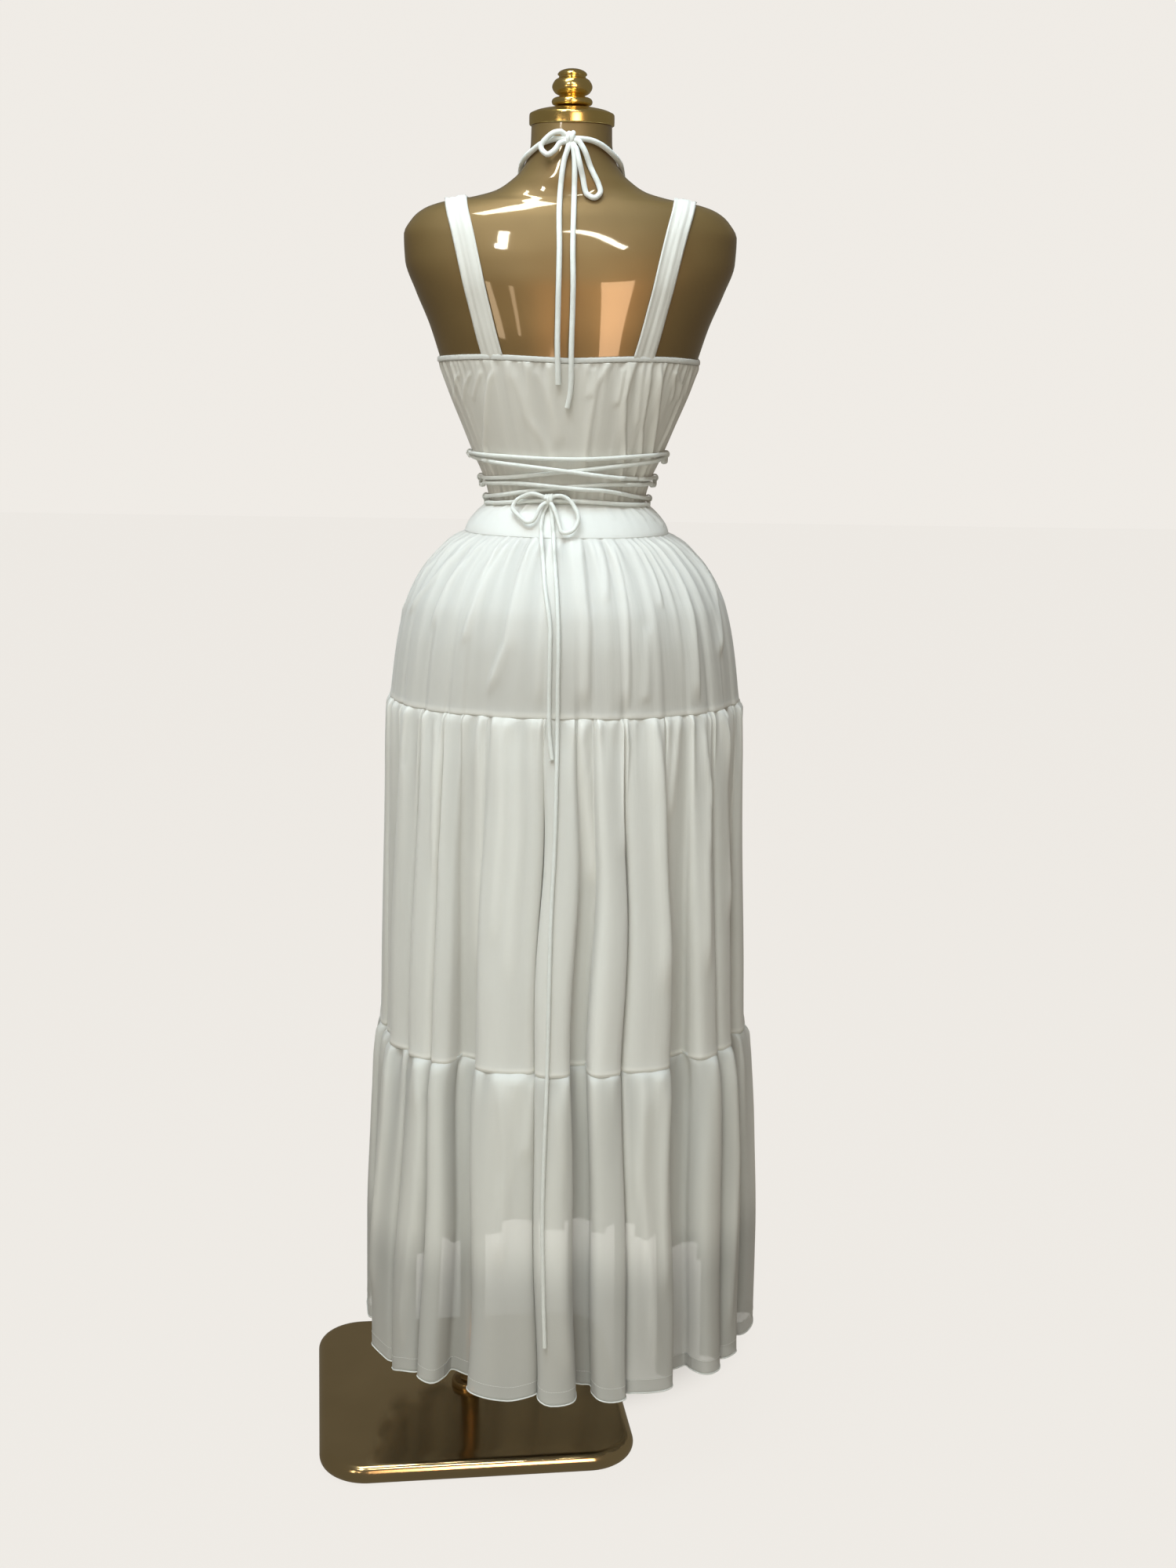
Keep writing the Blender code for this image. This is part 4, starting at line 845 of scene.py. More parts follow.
def loop_tree():
    """A round thread loop: a core ring with blanket stitches wound round it."""
    tree, given, made = node_tree("thread loop", (
        ("Core", "NodeSocketFloat", LOOP_THREAD / 2 * 0.72), ("Wraps", "NodeSocketInt", 26),
        ("Wrap Thread", "NodeSocketFloat", 0.00034), ("Finish", "NodeSocketMaterial", None),
    ))
    nodes, links = tree.nodes, tree.links
    line = nodes.new("GeometryNodeMeshToCurve")
    core = nodes.new("GeometryNodeCurvePrimitiveCircle")
    core.inputs["Resolution"].default_value = 10
    tube = nodes.new("GeometryNodeCurveToMesh")
    spots = nodes.new("GeometryNodeCurveToPoints")
    spots.mode = "COUNT"
    hoop = nodes.new("GeometryNodeCurvePrimitiveCircle")
    hoop.inputs["Resolution"].default_value = 12
    thread = nodes.new("GeometryNodeCurvePrimitiveCircle")
    thread.inputs["Resolution"].default_value = 5
    wrap = nodes.new("GeometryNodeCurveToMesh")
    turn = nodes.new("FunctionNodeAlignRotationToVector")
    turn.axis = "Z"
    lay = nodes.new("GeometryNodeInstanceOnPoints")
    join = nodes.new("GeometryNodeJoinGeometry")
    real = nodes.new("GeometryNodeRealizeInstances")
    paint = nodes.new("GeometryNodeSetMaterial")
    wire(
        links,
        (given, "Geometry", line, "Mesh"),
        (given, "Core", core, "Radius"),
        (line, "Curve", tube, "Curve"),
        (core, "Curve", tube, "Profile Curve"),
        (line, "Curve", spots, "Curve"),
        (given, "Wraps", spots, "Count"),
        (given, "Core", hoop, "Radius"),
        (given, "Wrap Thread", thread, "Radius"),
        (hoop, "Curve", wrap, "Curve"),
        (thread, "Curve", wrap, "Profile Curve"),
        (spots, "Tangent", turn, "Vector"),
        (spots, "Points", lay, "Points"),
        (wrap, "Mesh", lay, "Instance"),
        (turn, "Rotation", lay, "Rotation"),
        (tube, "Mesh", join, "Geometry"),
        (lay, "Instances", join, "Geometry"),
        (join, "Geometry", real, "Geometry"),
        (real, "Geometry", paint, "Geometry"),
        (given, "Finish", paint, "Material"),
        (paint, "Geometry", made, "Geometry"),
    )
    return tree


def grown(name, lines, tree, values):
    """Runs a tree on lines of points, and keeps the result as a plain mesh. Each line is (points, closed)."""
    points, edges = [], []
    for line, closed in lines:
        start, count = len(points), len(line)
        points += [tuple(p) for p in line]
        edges += [(start + i, start + (i + 1) % count) for i in range(count if closed else count - 1)]
    mesh = bpy.data.meshes.new(name)
    mesh.from_pydata(points, edges, [])
    seed = add_object(name + "_line", mesh)
    work = seed.modifiers.new("nodes", "NODES")
    work.node_group = tree
    for item in tree.interface.items_tree:
        if item.item_type == "SOCKET" and item.in_out == "INPUT" and item.name in values:
            work[item.identifier] = values[item.name]
    graph = bpy.context.evaluated_depsgraph_get()
    result = bpy.data.meshes.new_from_object(seed.evaluated_get(graph))
    seed.modifiers.remove(work)
    bpy.data.objects.remove(seed)
    result.name = name
    result.shade_smooth()
    result.set_sharp_from_angle(angle=math.radians(50))
    return add_object(name, result)


# ---------------------------------------------------------------- the form and its stand
def build_torso(finish):
    """The limbless form, smooth and whole, with rows spaced evenly along its outline."""
    fine = np.linspace(FORM[0][0], FORM[-1][0], 3000)
    half_width = form_at(fine)[0]
    run = np.concatenate([[0.0], np.cumsum(np.hypot(np.diff(fine), np.diff(half_width)))])
    heights = np.interp(np.linspace(0, run[-1], 190), run, fine)
    degrees = np.arange(180) * 2.0
    points = body_surface(heights[:, None], degrees[None, :])
    rows, count = points.shape[:2]
    faces = [
        (r * count + i, r * count + (i + 1) % count, (r + 1) * count + (i + 1) % count, (r + 1) * count + i)
        for r in range(rows - 1) for i in range(count)
    ]
    faces.append(tuple(reversed(range(count))))
    faces.append(tuple((rows - 1) * count + i for i in range(count)))
    mesh = bpy.data.meshes.new("torso_coat")
    mesh.from_pydata(points.reshape(-1, 3).tolist(), [], faces)
    mesh.shade_smooth()
    mesh.set_sharp_from_angle(angle=math.radians(50))
    made = add_object("torso_coat", mesh, finish)
    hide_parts("form_torso")
    return made


def build_plate(finish):
    """The square foot plate: rounded corners and a half-round edge."""
    reach = PLATE_SIDE / 2 - PLATE_CORNER
    edge = PLATE_THICK / 2
    outline = []
    for corner in range(4):
        middle = np.array((reach if corner in (0, 3) else -reach, reach if corner < 2 else -reach))
        for step in range(25):
            angle = math.radians(90 * (corner + step / 24) + PLATE_TURN)
            spin = math.radians(PLATE_TURN)
            moved = (middle[0] * math.cos(spin) - middle[1] * math.sin(spin),
                     middle[0] * math.sin(spin) + middle[1] * math.cos(spin))
            outline.append((moved, (math.cos(angle), math.sin(angle))))
    work = bmesh.new()
    rings = []
    for step in range(17):
        tilt = math.pi * (step / 16 - 0.5)
        radius = PLATE_CORNER - edge * (1 - math.cos(tilt))
        z = edge + edge * math.sin(tilt)
        rings.append([work.verts.new((m[0] + w[0] * radius, m[1] + w[1] * radius, z)) for m, w in outline])
    for low, high in zip(rings, rings[1:]):
        for i in range(len(low)):
            j = (i + 1) % len(low)
            work.faces.new((low[i], low[j], high[j], high[i]))
    work.faces.new(list(reversed(rings[0])))
    work.faces.new(rings[-1])
    mesh = bpy.data.meshes.new("foot_plate")
    work.to_mesh(mesh)
    work.free()
    mesh.shade_smooth()
    mesh.set_sharp_from_angle(angle=math.radians(30))
    made = add_object("foot_plate", mesh, finish)
    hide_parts("base_plate")
    return made


def build_stand(gold, dark_gold, plate_metal):
    plate = build_plate(plate_metal)
    foot = PLATE_THICK + 0.0003
    top = SOCKET_BOTTOM_Z - 0.0003
    pole = turned("pole_tube", (
        (0.0240, foot), (0.0240, foot + 0.0055), (0.0228, foot + 0.0085), (0.0200, foot + 0.0100),
        (0.0135, foot + 0.0104), (POLE_RADIUS, foot + 0.0125), (POLE_RADIUS, foot + 0.05),
        (POLE_RADIUS, top - 0.05), (POLE_RADIUS, top),
    ), dark_gold, (0, 0, 0), 64, None)
    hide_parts("pole")
    neck = (FORM_X, FORM_Y + FORM[-1][4], FORM[-1][0])
    cap = turned("neck_cap_gold", NECK_CAP, gold, neck)
    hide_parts("neck_cap")
    finial = turned("finial_gold", FINIAL, gold, neck, 72)
    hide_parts("finial")
    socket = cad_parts["pole_socket"]
    socket.data.materials.clear()
    socket.data.materials.append(dark_gold)
    return [plate, pole, cap, finial]


# ---------------------------------------------------------------- the dress
def ease_of(degrees):
    """The cloth's outer face off the form: more room over the front's fuller shape."""
    share = 0.5 - 0.5 * np.cos(np.radians(degrees))
    return BODY_EASE + (FRONT_EASE - BODY_EASE) * np.minimum(1.0, 2 * np.maximum(0.0, share - 0.5))


def top_edge(degrees):
    turned_to = np.asarray(degrees) % 360
    return top_edge_at(np.minimum(turned_to, 360 - turned_to))[0]


def build_bodice(finish):
    degrees = np.arange(440) * 360 / 440
    share = seam_rows(0.0, 1.0, 58)[:, None]
    edge = top_edge(degrees)[None, :]
    heights = WAIST_Z + share * (edge - WAIST_Z)
    out = ease_of(degrees)[None, :] + 0.0006
    out = out + tucks(degrees, edge - heights, 170, 0.0022, 0.014, 31)
    out = out + tucks(degrees, edge - heights, 76, 0.0016, 0.050, 32)
    out = out + tucks(degrees, heights - WAIST_Z, 110, 0.0014, 0.026, 34)
    out = out + 0.0004 * around(degrees, 70, 36, 0.2, 1.0, True)
    out = out + creases(degrees, heights, 0.125, BODICE_CREASES)
    out = out - 0.0004 * (1 - ease_in((edge - heights) / 0.004))
    out = np.maximum(out, 0.0016)
    fine = out - ease_of(degrees)[None, :] - 0.0006
    # The folds' own height sets their painted shade in hollows and painted highlight on crests.
    made = cloth_grid("bodice_cloth", body_surface(heights, degrees[None, :], out), finish, True, painted_fold_shade=fine)
    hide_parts("bodice_back", "bodice_front")
    return made


def build_yoke(finish):
    degrees = np.arange(440) * 360 / 440
    heights = seam_rows(YOKE_SEAM_Z, WAIST_Z, 22)[:, None]
    out = ease_of(degrees)[None, :] + 0.0004
    out = out + tucks(degrees, WAIST_Z - heights, 90, 0.0009, 0.011, 41)
    out = out + creases(degrees, heights, 0.105, YOKE_CREASES)
    out = out + 0.0003 * bump(heights - YOKE_SEAM_Z - 0.0035, 0.003)
    seam = 0.5 * (1 - ease_in((heights - YOKE_SEAM_Z) / 0.004))
    half_width, back, front = skirt_at(np.array(YOKE_SEAM_Z))
    fine = out - ease_of(degrees)[None, :] - 0.0004
    foot = ring(half_width, back, front, 0.0, heights, degrees[None, :], fine)
    share = ((WAIST_Z - heights) / (WAIST_Z - YOKE_SEAM_Z))[..., None] ** 1.1
    points = body_surface(heights, degrees[None, :], out) * (1 - share) + foot * share
    made = cloth_grid("yoke_cloth", points, finish, True, seam=seam)
    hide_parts("yoke_back", "yoke_front")
    return made


def fold_columns(count):
    """Columns evenly spaced along the cloth at the hem, from -90 degrees: each one's angle, its angle where
    the folds are pinched in, and how far it stands out of the skirt's face."""
    marks = []
    for k, (crown, half_width, depth) in enumerate(LONG_FOLDS):
        for plain, pinched, share in FOLD_SHAPE:
            out = share * depth - FOLD_SINK
            marks.append((crown + plain * half_width, crown + pinched * half_width, out))
        after = LONG_FOLDS[(k + 1) % len(LONG_FOLDS)]
        foot = crown + half_width
        next_foot = after[0] - after[1] + (360 if k + 1 == len(LONG_FOLDS) else 0)
        if next_foot - foot > 2.0:
            middle = (foot + next_foot) / 2
            marks.append((middle, middle, -FOLD_SINK))
    first = marks[0]
    around_once = marks + [(first[0] + 360, first[1] + 360, first[2])]
    scaled = [(a, b, r * 200) for a, b, r in around_once]
    fine = smooth_route(scaled, 0.08)
    arc = np.concatenate([[0.0], np.cumsum(np.hypot(
        np.radians(np.diff(fine[:, 1])) * 0.25, np.diff(fine[:, 2]) / 200))])
    start = np.interp(-90.0, fine[:, 0], arc)
    wanted = start + arc[-1] * np.arange(count) / count
    wraps = wanted >= arc[-1]
    wanted = wanted % arc[-1]
    plain, pinched, rise = (np.interp(wanted, arc, fine[:, k]) for k in range(3))
    return plain + 360 * wraps, pinched + 360 * wraps, rise / 200


def skirt_points(heights, columns, extra):
    """The skirt's face at some heights, with the long folds grown by each height."""
    plain, pinched, rise = columns
    z = heights[:, None]
    growth = growth_at(z)[0]
    grip = ease_in((growth - 0.15) / 0.6)
    turned_to = np.radians(plain)[None, :]
    wander = 0.9 * np.sin(3 * turned_to + 9 * z) + 0.45 * np.sin(7 * turned_to + 17 * z)
    degrees = plain + (pinched - plain) * grip + wander * ease_in((TIER1_SEAM_Z - z) / 0.25)
    half_width, back, front = skirt_at(z)
    return ring(half_width, back, front, 0.0, z, degrees, growth * rise + extra)


def puffed(away, height, reach):
    """How cloth swells out just below a seam that holds it."""
    return height * (1 - np.exp(-away / 0.006)) * np.exp(-away / reach)


def under(away):
    """How far cloth goes in where its seam allowance lies under the cloth above."""
    return 0.0004 + 0.0018 * ease_in(-away / 0.002)


def tier_rows(low, high):
    """A tier's rows, and two more for the allowance that goes up under the seam above."""
    return np.concatenate([seam_rows(low, high, 60), [high + 0.002, high + 0.005]])


def seam_mark(heights, seam_z):
    """Where the turned-in layers of the seam below lie."""
    return 1 - ease_in((heights - seam_z - 0.004)[:, None] / 0.005)


def seam_ridge(heights, seam_z):
    return 0.0005 * bump((heights - seam_z - 0.0045)[:, None], 0.0040)


def build_tiers(tier1_crepe_painted_shade, crepe, chiffon, columns):
    plain, _, rise = columns
    count = len(plain)
    cloth_way = (np.arange(count) * 360 / count)[None, :]
    body_way = plain[None, :]
    heights = tier_rows(TIER1_SEAM_Z, YOKE_SEAM_Z)
    even = np.arange(520) * 360 / 520
    away = (YOKE_SEAM_Z - heights)[:, None]
    extra = tucks(even[None, :], away, 176, 0.0026, 0.030, 11)
    extra = extra + tucks(even[None, :], away, 84, 0.0030, 0.11, 12)
    extra = extra + creases(even[None, :], heights[:, None], 0.19, TIER1_CREASES)
    fine = extra
    extra = extra + puffed(away, 0.0024, 0.05) - under(away)
    extra = extra + seam_ridge(heights, TIER1_SEAM_Z)
    growth = growth_at(heights[:, None])[0]
    order = np.argsort(plain % 360)
    seam_rise = np.interp(even[None, :], (plain % 360)[order], rise[order], period=360)
    half_width, back, front = skirt_at(heights[:, None])
    out = growth * seam_rise + extra
    points = ring(half_width, back, front, 0.0, heights[:, None], even[None, :], out)
    seam = seam_mark(heights, TIER1_SEAM_Z)
    # Tier 1's folds set its painted shade in hollows and painted highlight on crests.
    tier1 = cloth_grid("tier1_cloth", points, tier1_crepe_painted_shade, True, seam=seam, painted_fold_shade=fine)
    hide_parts("tier1_back", "tier1_front")

    heights = tier_rows(TIER2_SEAM_Z, TIER1_SEAM_Z)
    away = (TIER1_SEAM_Z - heights)[:, None]
    extra = tucks(cloth_way, away, 230, 0.0030, 0.022, 21) + tucks(cloth_way, away, 110, 0.0036, 0.09, 22)
    extra = extra + creases(body_way, heights[:, None], 0.235, TIER2_CREASES)
    extra = extra + 0.0012 * around(cloth_way, 110, 23, 0.1, 1.0, True) * ease_in(away / 0.08)
    fine = extra
    extra = extra + puffed(away, 0.0040, 0.06) - under(away)
    extra = extra + seam_ridge(heights, TIER2_SEAM_Z)
    points = skirt_points(heights, columns, extra)
    seam = seam_mark(heights, TIER2_SEAM_Z)
    # Painted shade between the long folds and painted highlight on their crowns, added to that of the small
    # folds.
    fold = growth_at(heights[:, None])[0] * (rise - rise.mean())[None, :]
    tier2 = cloth_grid("tier2_cloth", points, crepe, True, seam=seam, painted_fold_shade=fine + 0.05 * fold)
    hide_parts("tier2_back", "tier2_front")

    heights = tier_rows(HEM_Z + 0.0010, TIER2_SEAM_Z)
    away = (TIER2_SEAM_Z - heights)[:, None]
    extra = tucks(cloth_way, away, 230, 0.0034, 0.024, 24) + tucks(cloth_way, away, 116, 0.0046, 0.11, 25)
    extra = extra + creases(body_way, heights[:, None], 0.255, TIER3_CREASES)
    extra = extra + 0.0020 * around(cloth_way, 92, 26, 0.1, 1.0, True) * ease_in(away / 0.12)
    fine = extra
    extra = extra + puffed(away, 0.0050, 0.09) - under(away)
    points = skirt_points(heights, columns, extra)
    low = ease_in((0.30 - heights[:, None]) / 0.16)
    points[..., 2] += low * 0.0035 * (1.0 + around(cloth_way, 84, 27, 0.1, 1.0, True))
    seam = 0.8 * (1 - ease_in(away / 0.006))
    # Painted shade between the long folds and painted highlight on their crowns, added to that of the small
    # folds.
    fold = growth_at(heights[:, None])[0] * (rise - rise.mean())[None, :]
    tier3 = cloth_grid("tier3_cloth", points, chiffon, True, 0.0006, seam=seam, painted_fold_shade=fine + 0.07 * fold)
    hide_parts("tier3_back", "tier3_front")
    return tier1, tier2, tier3, points, heights


def build_lining(finish, columns):
    plain, _, rise = columns
    order = np.argsort(plain % 360)
    degrees = np.arange(260) * 360 / 260
    share = np.interp(degrees, (plain % 360)[order], rise[order], period=360)
    smooth = np.convolve(np.concatenate([share[-2:], share, share[:2]]), np.ones(5) / 5, "valid")
    heights = seam_rows(LINING_HEM_Z, 1.1690, 56)[:, None]
    half_width, back, front = lining_at(heights)
    grown_by = growth_at(heights)[0]
    wave = 0.0007 * around(degrees, 44, 51, 0.2, 1.0, True)
    out = grown_by * (0.55 * smooth[None, :] + 0.004) + wave * grown_by
    points = ring(half_width, back, front, 0.0, heights, degrees[None, :], out)
    made = cloth_grid("lining_cloth", points, finish, True)
    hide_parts("lining_back", "lining_front")
    return made


def build_hem(points, heights, chiffon, cord):
    """The hem's turned-up layer behind the sheer cloth, and its rolled edge."""
    turn_rows = int(np.searchsorted(heights, heights[0] + HEM_TURN))
    fine = np.linspace(0, 1, 6)[:, None, None]
    low, high = points[0][None], points[turn_rows][None]
    strip = low + (high - low) * fine
    middle = np.array((FORM_X, FORM_Y, 0.0))
    inward = strip - middle
    inward[..., 2] = 0
    strip = strip - 0.0011 * inward / np.linalg.norm(inward, axis=-1, keepdims=True)
    turn = cloth_grid("hem_turn", strip, chiffon, True, 0.0004, keep=False)
    data = bpy.data.curves.new("hem_roll", "CURVE")
    data.dimensions = "3D"
    data.bevel_depth = 0.0009
    data.bevel_resolution = 1
    spline = data.splines.new("POLY")
    edge = points[0] - np.array((0, 0, 0.0002))
    spline.points.add(len(edge) - 1)
    for held, point in zip(spline.points, edge):
        held.co = (*point, 1.0)
    spline.use_cyclic_u = True
    roll = add_object("hem_roll", data, cord)
    return turn, roll, points[turn_rows]


def build_binding(finish):
    """The elastic binding on the top edge, ruched by its elastic."""
    degrees = np.arange(760) * 360 / 760
    middle = top_edge(degrees) + 0.0003 + BINDING_HEIGHT / 2
    ruche = around(degrees, 300, 61, 0.2, 1.0, True)
    ways = np.linspace(0, 2 * math.pi, 14, endpoint=False)
    across = np.sign(np.cos(ways)) * np.abs(np.cos(ways)) ** 0.7
    upward = np.sign(np.sin(ways)) * np.abs(np.sin(ways)) ** 0.7
    thick = BINDING_THICK / 2 + 0.00022 * ruche[:, None]
    tall = BINDING_HEIGHT / 2 + 0.00018 * np.roll(ruche, 3)[:, None]
    heights = middle[:, None] + tall * upward[None, :]
    out = (ease_of(degrees) - CLOTH / 2)[:, None] + thick * across[None, :]
    points = body_surface(np.broadcast_to(middle[:, None], heights.shape), degrees[:, None], out)
    points[..., 2] = heights
    count, sides = points.shape[:2]
    faces = [
        (i * sides + k, i * sides + (k + 1) % sides, (i + 1) % count * sides + (k + 1) % sides,
         (i + 1) % count * sides + k)
        for i in range(count) for k in range(sides)
    ]
    mesh = bpy.data.meshes.new("top_binding")
    mesh.from_pydata(points.reshape(-1, 3).tolist(), [], faces)
    work = bmesh.new()
    work.from_mesh(mesh)
    bmesh.ops.recalc_face_normals(work, faces=work.faces)
    work.to_mesh(mesh)
    work.free()
    layer = mesh.uv_layers.new(name="cloth")
    scale = 2.2e-3
    for face in mesh.polygons:
        for corner in face.loop_indices:
            index = mesh.loops[corner].vertex_index
            layer.data[corner].uv = (index // sides * scale * 0.5, index % sides * scale)
    mesh.shade_smooth()
    made = add_object("top_binding", mesh, finish)
    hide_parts("binding_back", "binding_front")
    SURFACES.append(made)
    return made


def build_straps(finish, torso):
    """Flat straps over the shoulders, with a few soft lengthwise folds."""
    tree = tree_of([torso])
    made, lines = [], []
    for name, sign in (("left", 1), ("right", -1)):
        route = []
        for side, x, other in STRAP_ROUTE:
            place = Vector((FORM_X + sign * x, FORM_Y + other, 2.0))
            way = Vector((0, 0, -1))
            if side != "top":
                toward = 1.0 if side == "back" else -1.0
                place = Vector((FORM_X + sign * x, toward, other))
                way = Vector((0, -toward, 0))
            route.append(tree.ray_cast(place, way)[0])
        middles = smooth_route(route, 0.0035)
        shares = np.linspace(-0.5, 0.5, 15)
        rows = []
        for k, middle in enumerate(middles):
            run = k / (len(middles) - 1)
            way = Vector(middles[min(k + 1, len(middles) - 1)]) - Vector(middles[max(k - 1, 0)])
            aside = way.cross(tree.find_nearest(Vector(middle))[1]).normalized()
            aside = aside * sign * (1 if aside.x > 0 else -1)
            row = []
            for share in shares:
                near, normal, _, _ = tree.find_nearest(Vector(middle) + aside * (share * STRAP_WIDTH))
                fold = 0.0006 * math.sin(9.5 * share + 5.0 * run + sign)
                fold = fold + 0.0004 * math.sin(23 * share - 3 * run)
                rolled = -0.0004 * (abs(share) * 2) ** 6
                row.append(tuple(near + normal * (0.0034 + fold + rolled)))
            rows.append(row)
        points = np.array(rows)
        if sign < 0:
            points = points[:, ::-1]
        strap = cloth_grid(f"strap_{name}_cloth", points[:, ::-1], finish, False, 0.0014)
        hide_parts(f"strap_{name}")
        made.append(strap)
        for column in (1, -2):
            lines.append((points[:, column], False))
    return made, lines


# ---------------------------------------------------------------- cords
def laid(route, diameter, tree, reach=0.010):
    """A route of (distance from the midline, height, cords lain over), as points on what is behind it."""
    dense = smooth_route(route, 0.0025)
    guesses, ways, lifts = [], [], []
    for x, z, _ in dense:
        half_width, back = (form_at(z) if z >= YOKE_SEAM_Z else skirt_at(z))[:2]
        share = min(1.0, abs(x) / float(half_width))
        y = float(back) * (1 - share ** ROUNDNESS) ** (1 / ROUNDNESS)
        way = Vector((x * float(ease_in((share - 0.5) / 0.4)), max(y, 0.001), 0)).normalized()
        guess = Vector((FORM_X + x, FORM_Y + y, z))
        hit = tree.ray_cast(guess + way * 0.5, -way)[0]
        guesses.append(guess)
        ways.append(way)
        lifts.append((hit - guess).dot(way))
    lifts = bridged(np.array(lifts), reach / 0.0025)
    return [
        tuple(guess + way * (lift + diameter / 2 + TOUCH + max(0.0, over) * (diameter + TOUCH)))
        for guess, way, lift, (_, _, over) in zip(guesses, ways, lifts, dense)
    ]


def thin(points, step=4):
    """Fewer points of a laid route, so that its joins with the next stretch are smoothed too."""
    return [points[0], *points[step:-step:step], points[-1]]


def cord_piece(name, points, diameter, finish, nodes):
    data = bpy.data.curves.new(name, "CURVE")
    data.dimensions = "3D"
    data.bevel_depth = diameter / 2
    data.bevel_resolution = 4
    data.use_fill_caps = True
    smooth = smooth_route(points, 0.0022)
    spline = data.splines.new("POLY")
    spline.points.add(len(smooth) - 1)
    for held, point in zip(spline.points, smooth):
        held.co = (*point, 1.0)
    made = add_object(name, data, finish)
    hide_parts(*nodes)
    return made


def build_knot(name, centre, size, diameter, wraps, finish, node):
    """A tight knot: a firm core with the cord wound round it."""
    turns = np.linspace(0, 2 * math.pi * wraps, int(20 * wraps))
    run = turns / turns[-1] - 0.5
    line = np.stack([
        centre[0] + size[0] * 1.1 * run, centre[1] + size[1] * 0.72 * np.sin(turns),
        centre[2] + size[2] * 0.80 * np.cos(turns) - 0.001 * run,
    ], -1)
    data = bpy.data.curves.new(name, "CURVE")
    data.dimensions = "3D"
    data.bevel_depth = diameter * 0.46
    data.bevel_resolution = 4
    data.use_fill_caps = True
    spline = data.splines.new("POLY")
    spline.points.add(len(line) - 1)
    for held, point in zip(spline.points, line):
        held.co = (*point, 1.0)
    coil = bpy.data.objects.new(name, data)
    bpy.context.scene.collection.objects.link(coil)
    graph = bpy.context.evaluated_depsgraph_get()
    mesh = bpy.data.meshes.new_from_object(coil.evaluated_get(graph))
    bpy.data.objects.remove(coil)
    work = bmesh.new()
    work.from_mesh(mesh)
    core = bmesh.ops.create_icosphere(work, subdivisions=3, radius=1.0)["verts"]
    bmesh.ops.scale(work, vec=[s * 0.86 for s in size], verts=core)
    bmesh.ops.translate(work, vec=centre, verts=core)
    work.to_mesh(mesh)
    work.free()
    mesh.materials.clear()
    mesh.shade_smooth()
    made = add_object(name, mesh, finish)
    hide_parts(node)
    return made


def loop_centre(sign, height):
    """Where a thread loop stands out of the side seam."""
    edge = body_surface(np.array(height), -90.0 * sign, BODY_EASE)
    return np.array((edge[0] + sign * (LOOP_RADIUS + LOOP_THREAD / 2 - 0.0004), FORM_Y, height))


def through_loop(sign, height):
    """The way of a lace that comes from the back, goes through a loop and turns back below it."""
    c = loop_centre(sign, height)
    steps = (
        (-0.0030 * sign, 0.0150, 0.0010), (0.0, 0.0060, 0.0005), (0.0008 * sign, -0.0030, -0.0005),
        (0.0008 * sign, -0.0085, -0.0045), (0.0004 * sign, -0.0030, -0.0088), (-0.0008 * sign, 0.0060, -0.0092),
        (-0.0042 * sign, 0.0160, -0.0085),
    )
    return [tuple(c + np.array(step)) for step in steps]


def build_neck_tie(tree, finish):
    x, z = NECK_KNOT
    cover = tree.ray_cast(Vector((FORM_X + x, 1.0, z)), Vector((0, -1, 0)))[0]
    centre = np.array((FORM_X + x, cover.y + 0.0062, z))
    size = (0.0070, 0.0060, 0.0072)
    knot = build_knot("neck_tie_knot", tuple(centre), size, NECK_CORD, 1.6, finish, "neck_knot")
    lift = NECK_CORD / 2 + 0.0008
    made = []
    for name, sign, loop, tail in (
        ("left", 1, NECK_LOOP_LEFT, NECK_TAIL_LEFT), ("right", -1, NECK_LOOP_RIGHT, NECK_TAIL_RIGHT)
    ):
        way = [tuple(body_surface(np.array(height), -sign * degrees, lift)) for degrees, height in NECK_ROUND]
        way.append(tuple(centre + np.array((sign * 0.0075, 0, 0))))
        way.append(tuple(centre))
        way += thin(laid(loop, NECK_CORD, tree, 0.006))
        way.append(tuple(centre + np.array((0.001 * sign, 0.001, -0.003))))
        way += thin(laid(tail, NECK_CORD, tree, 0.020), 6)
        tie = cord_piece(f"neck_tie_{name}", way, NECK_CORD, finish, (
            f"neck_cord_{name}", f"neck_loop_{name}", f"neck_tail_{name}"))
        made.append((tie, way[0]))
    return made, knot


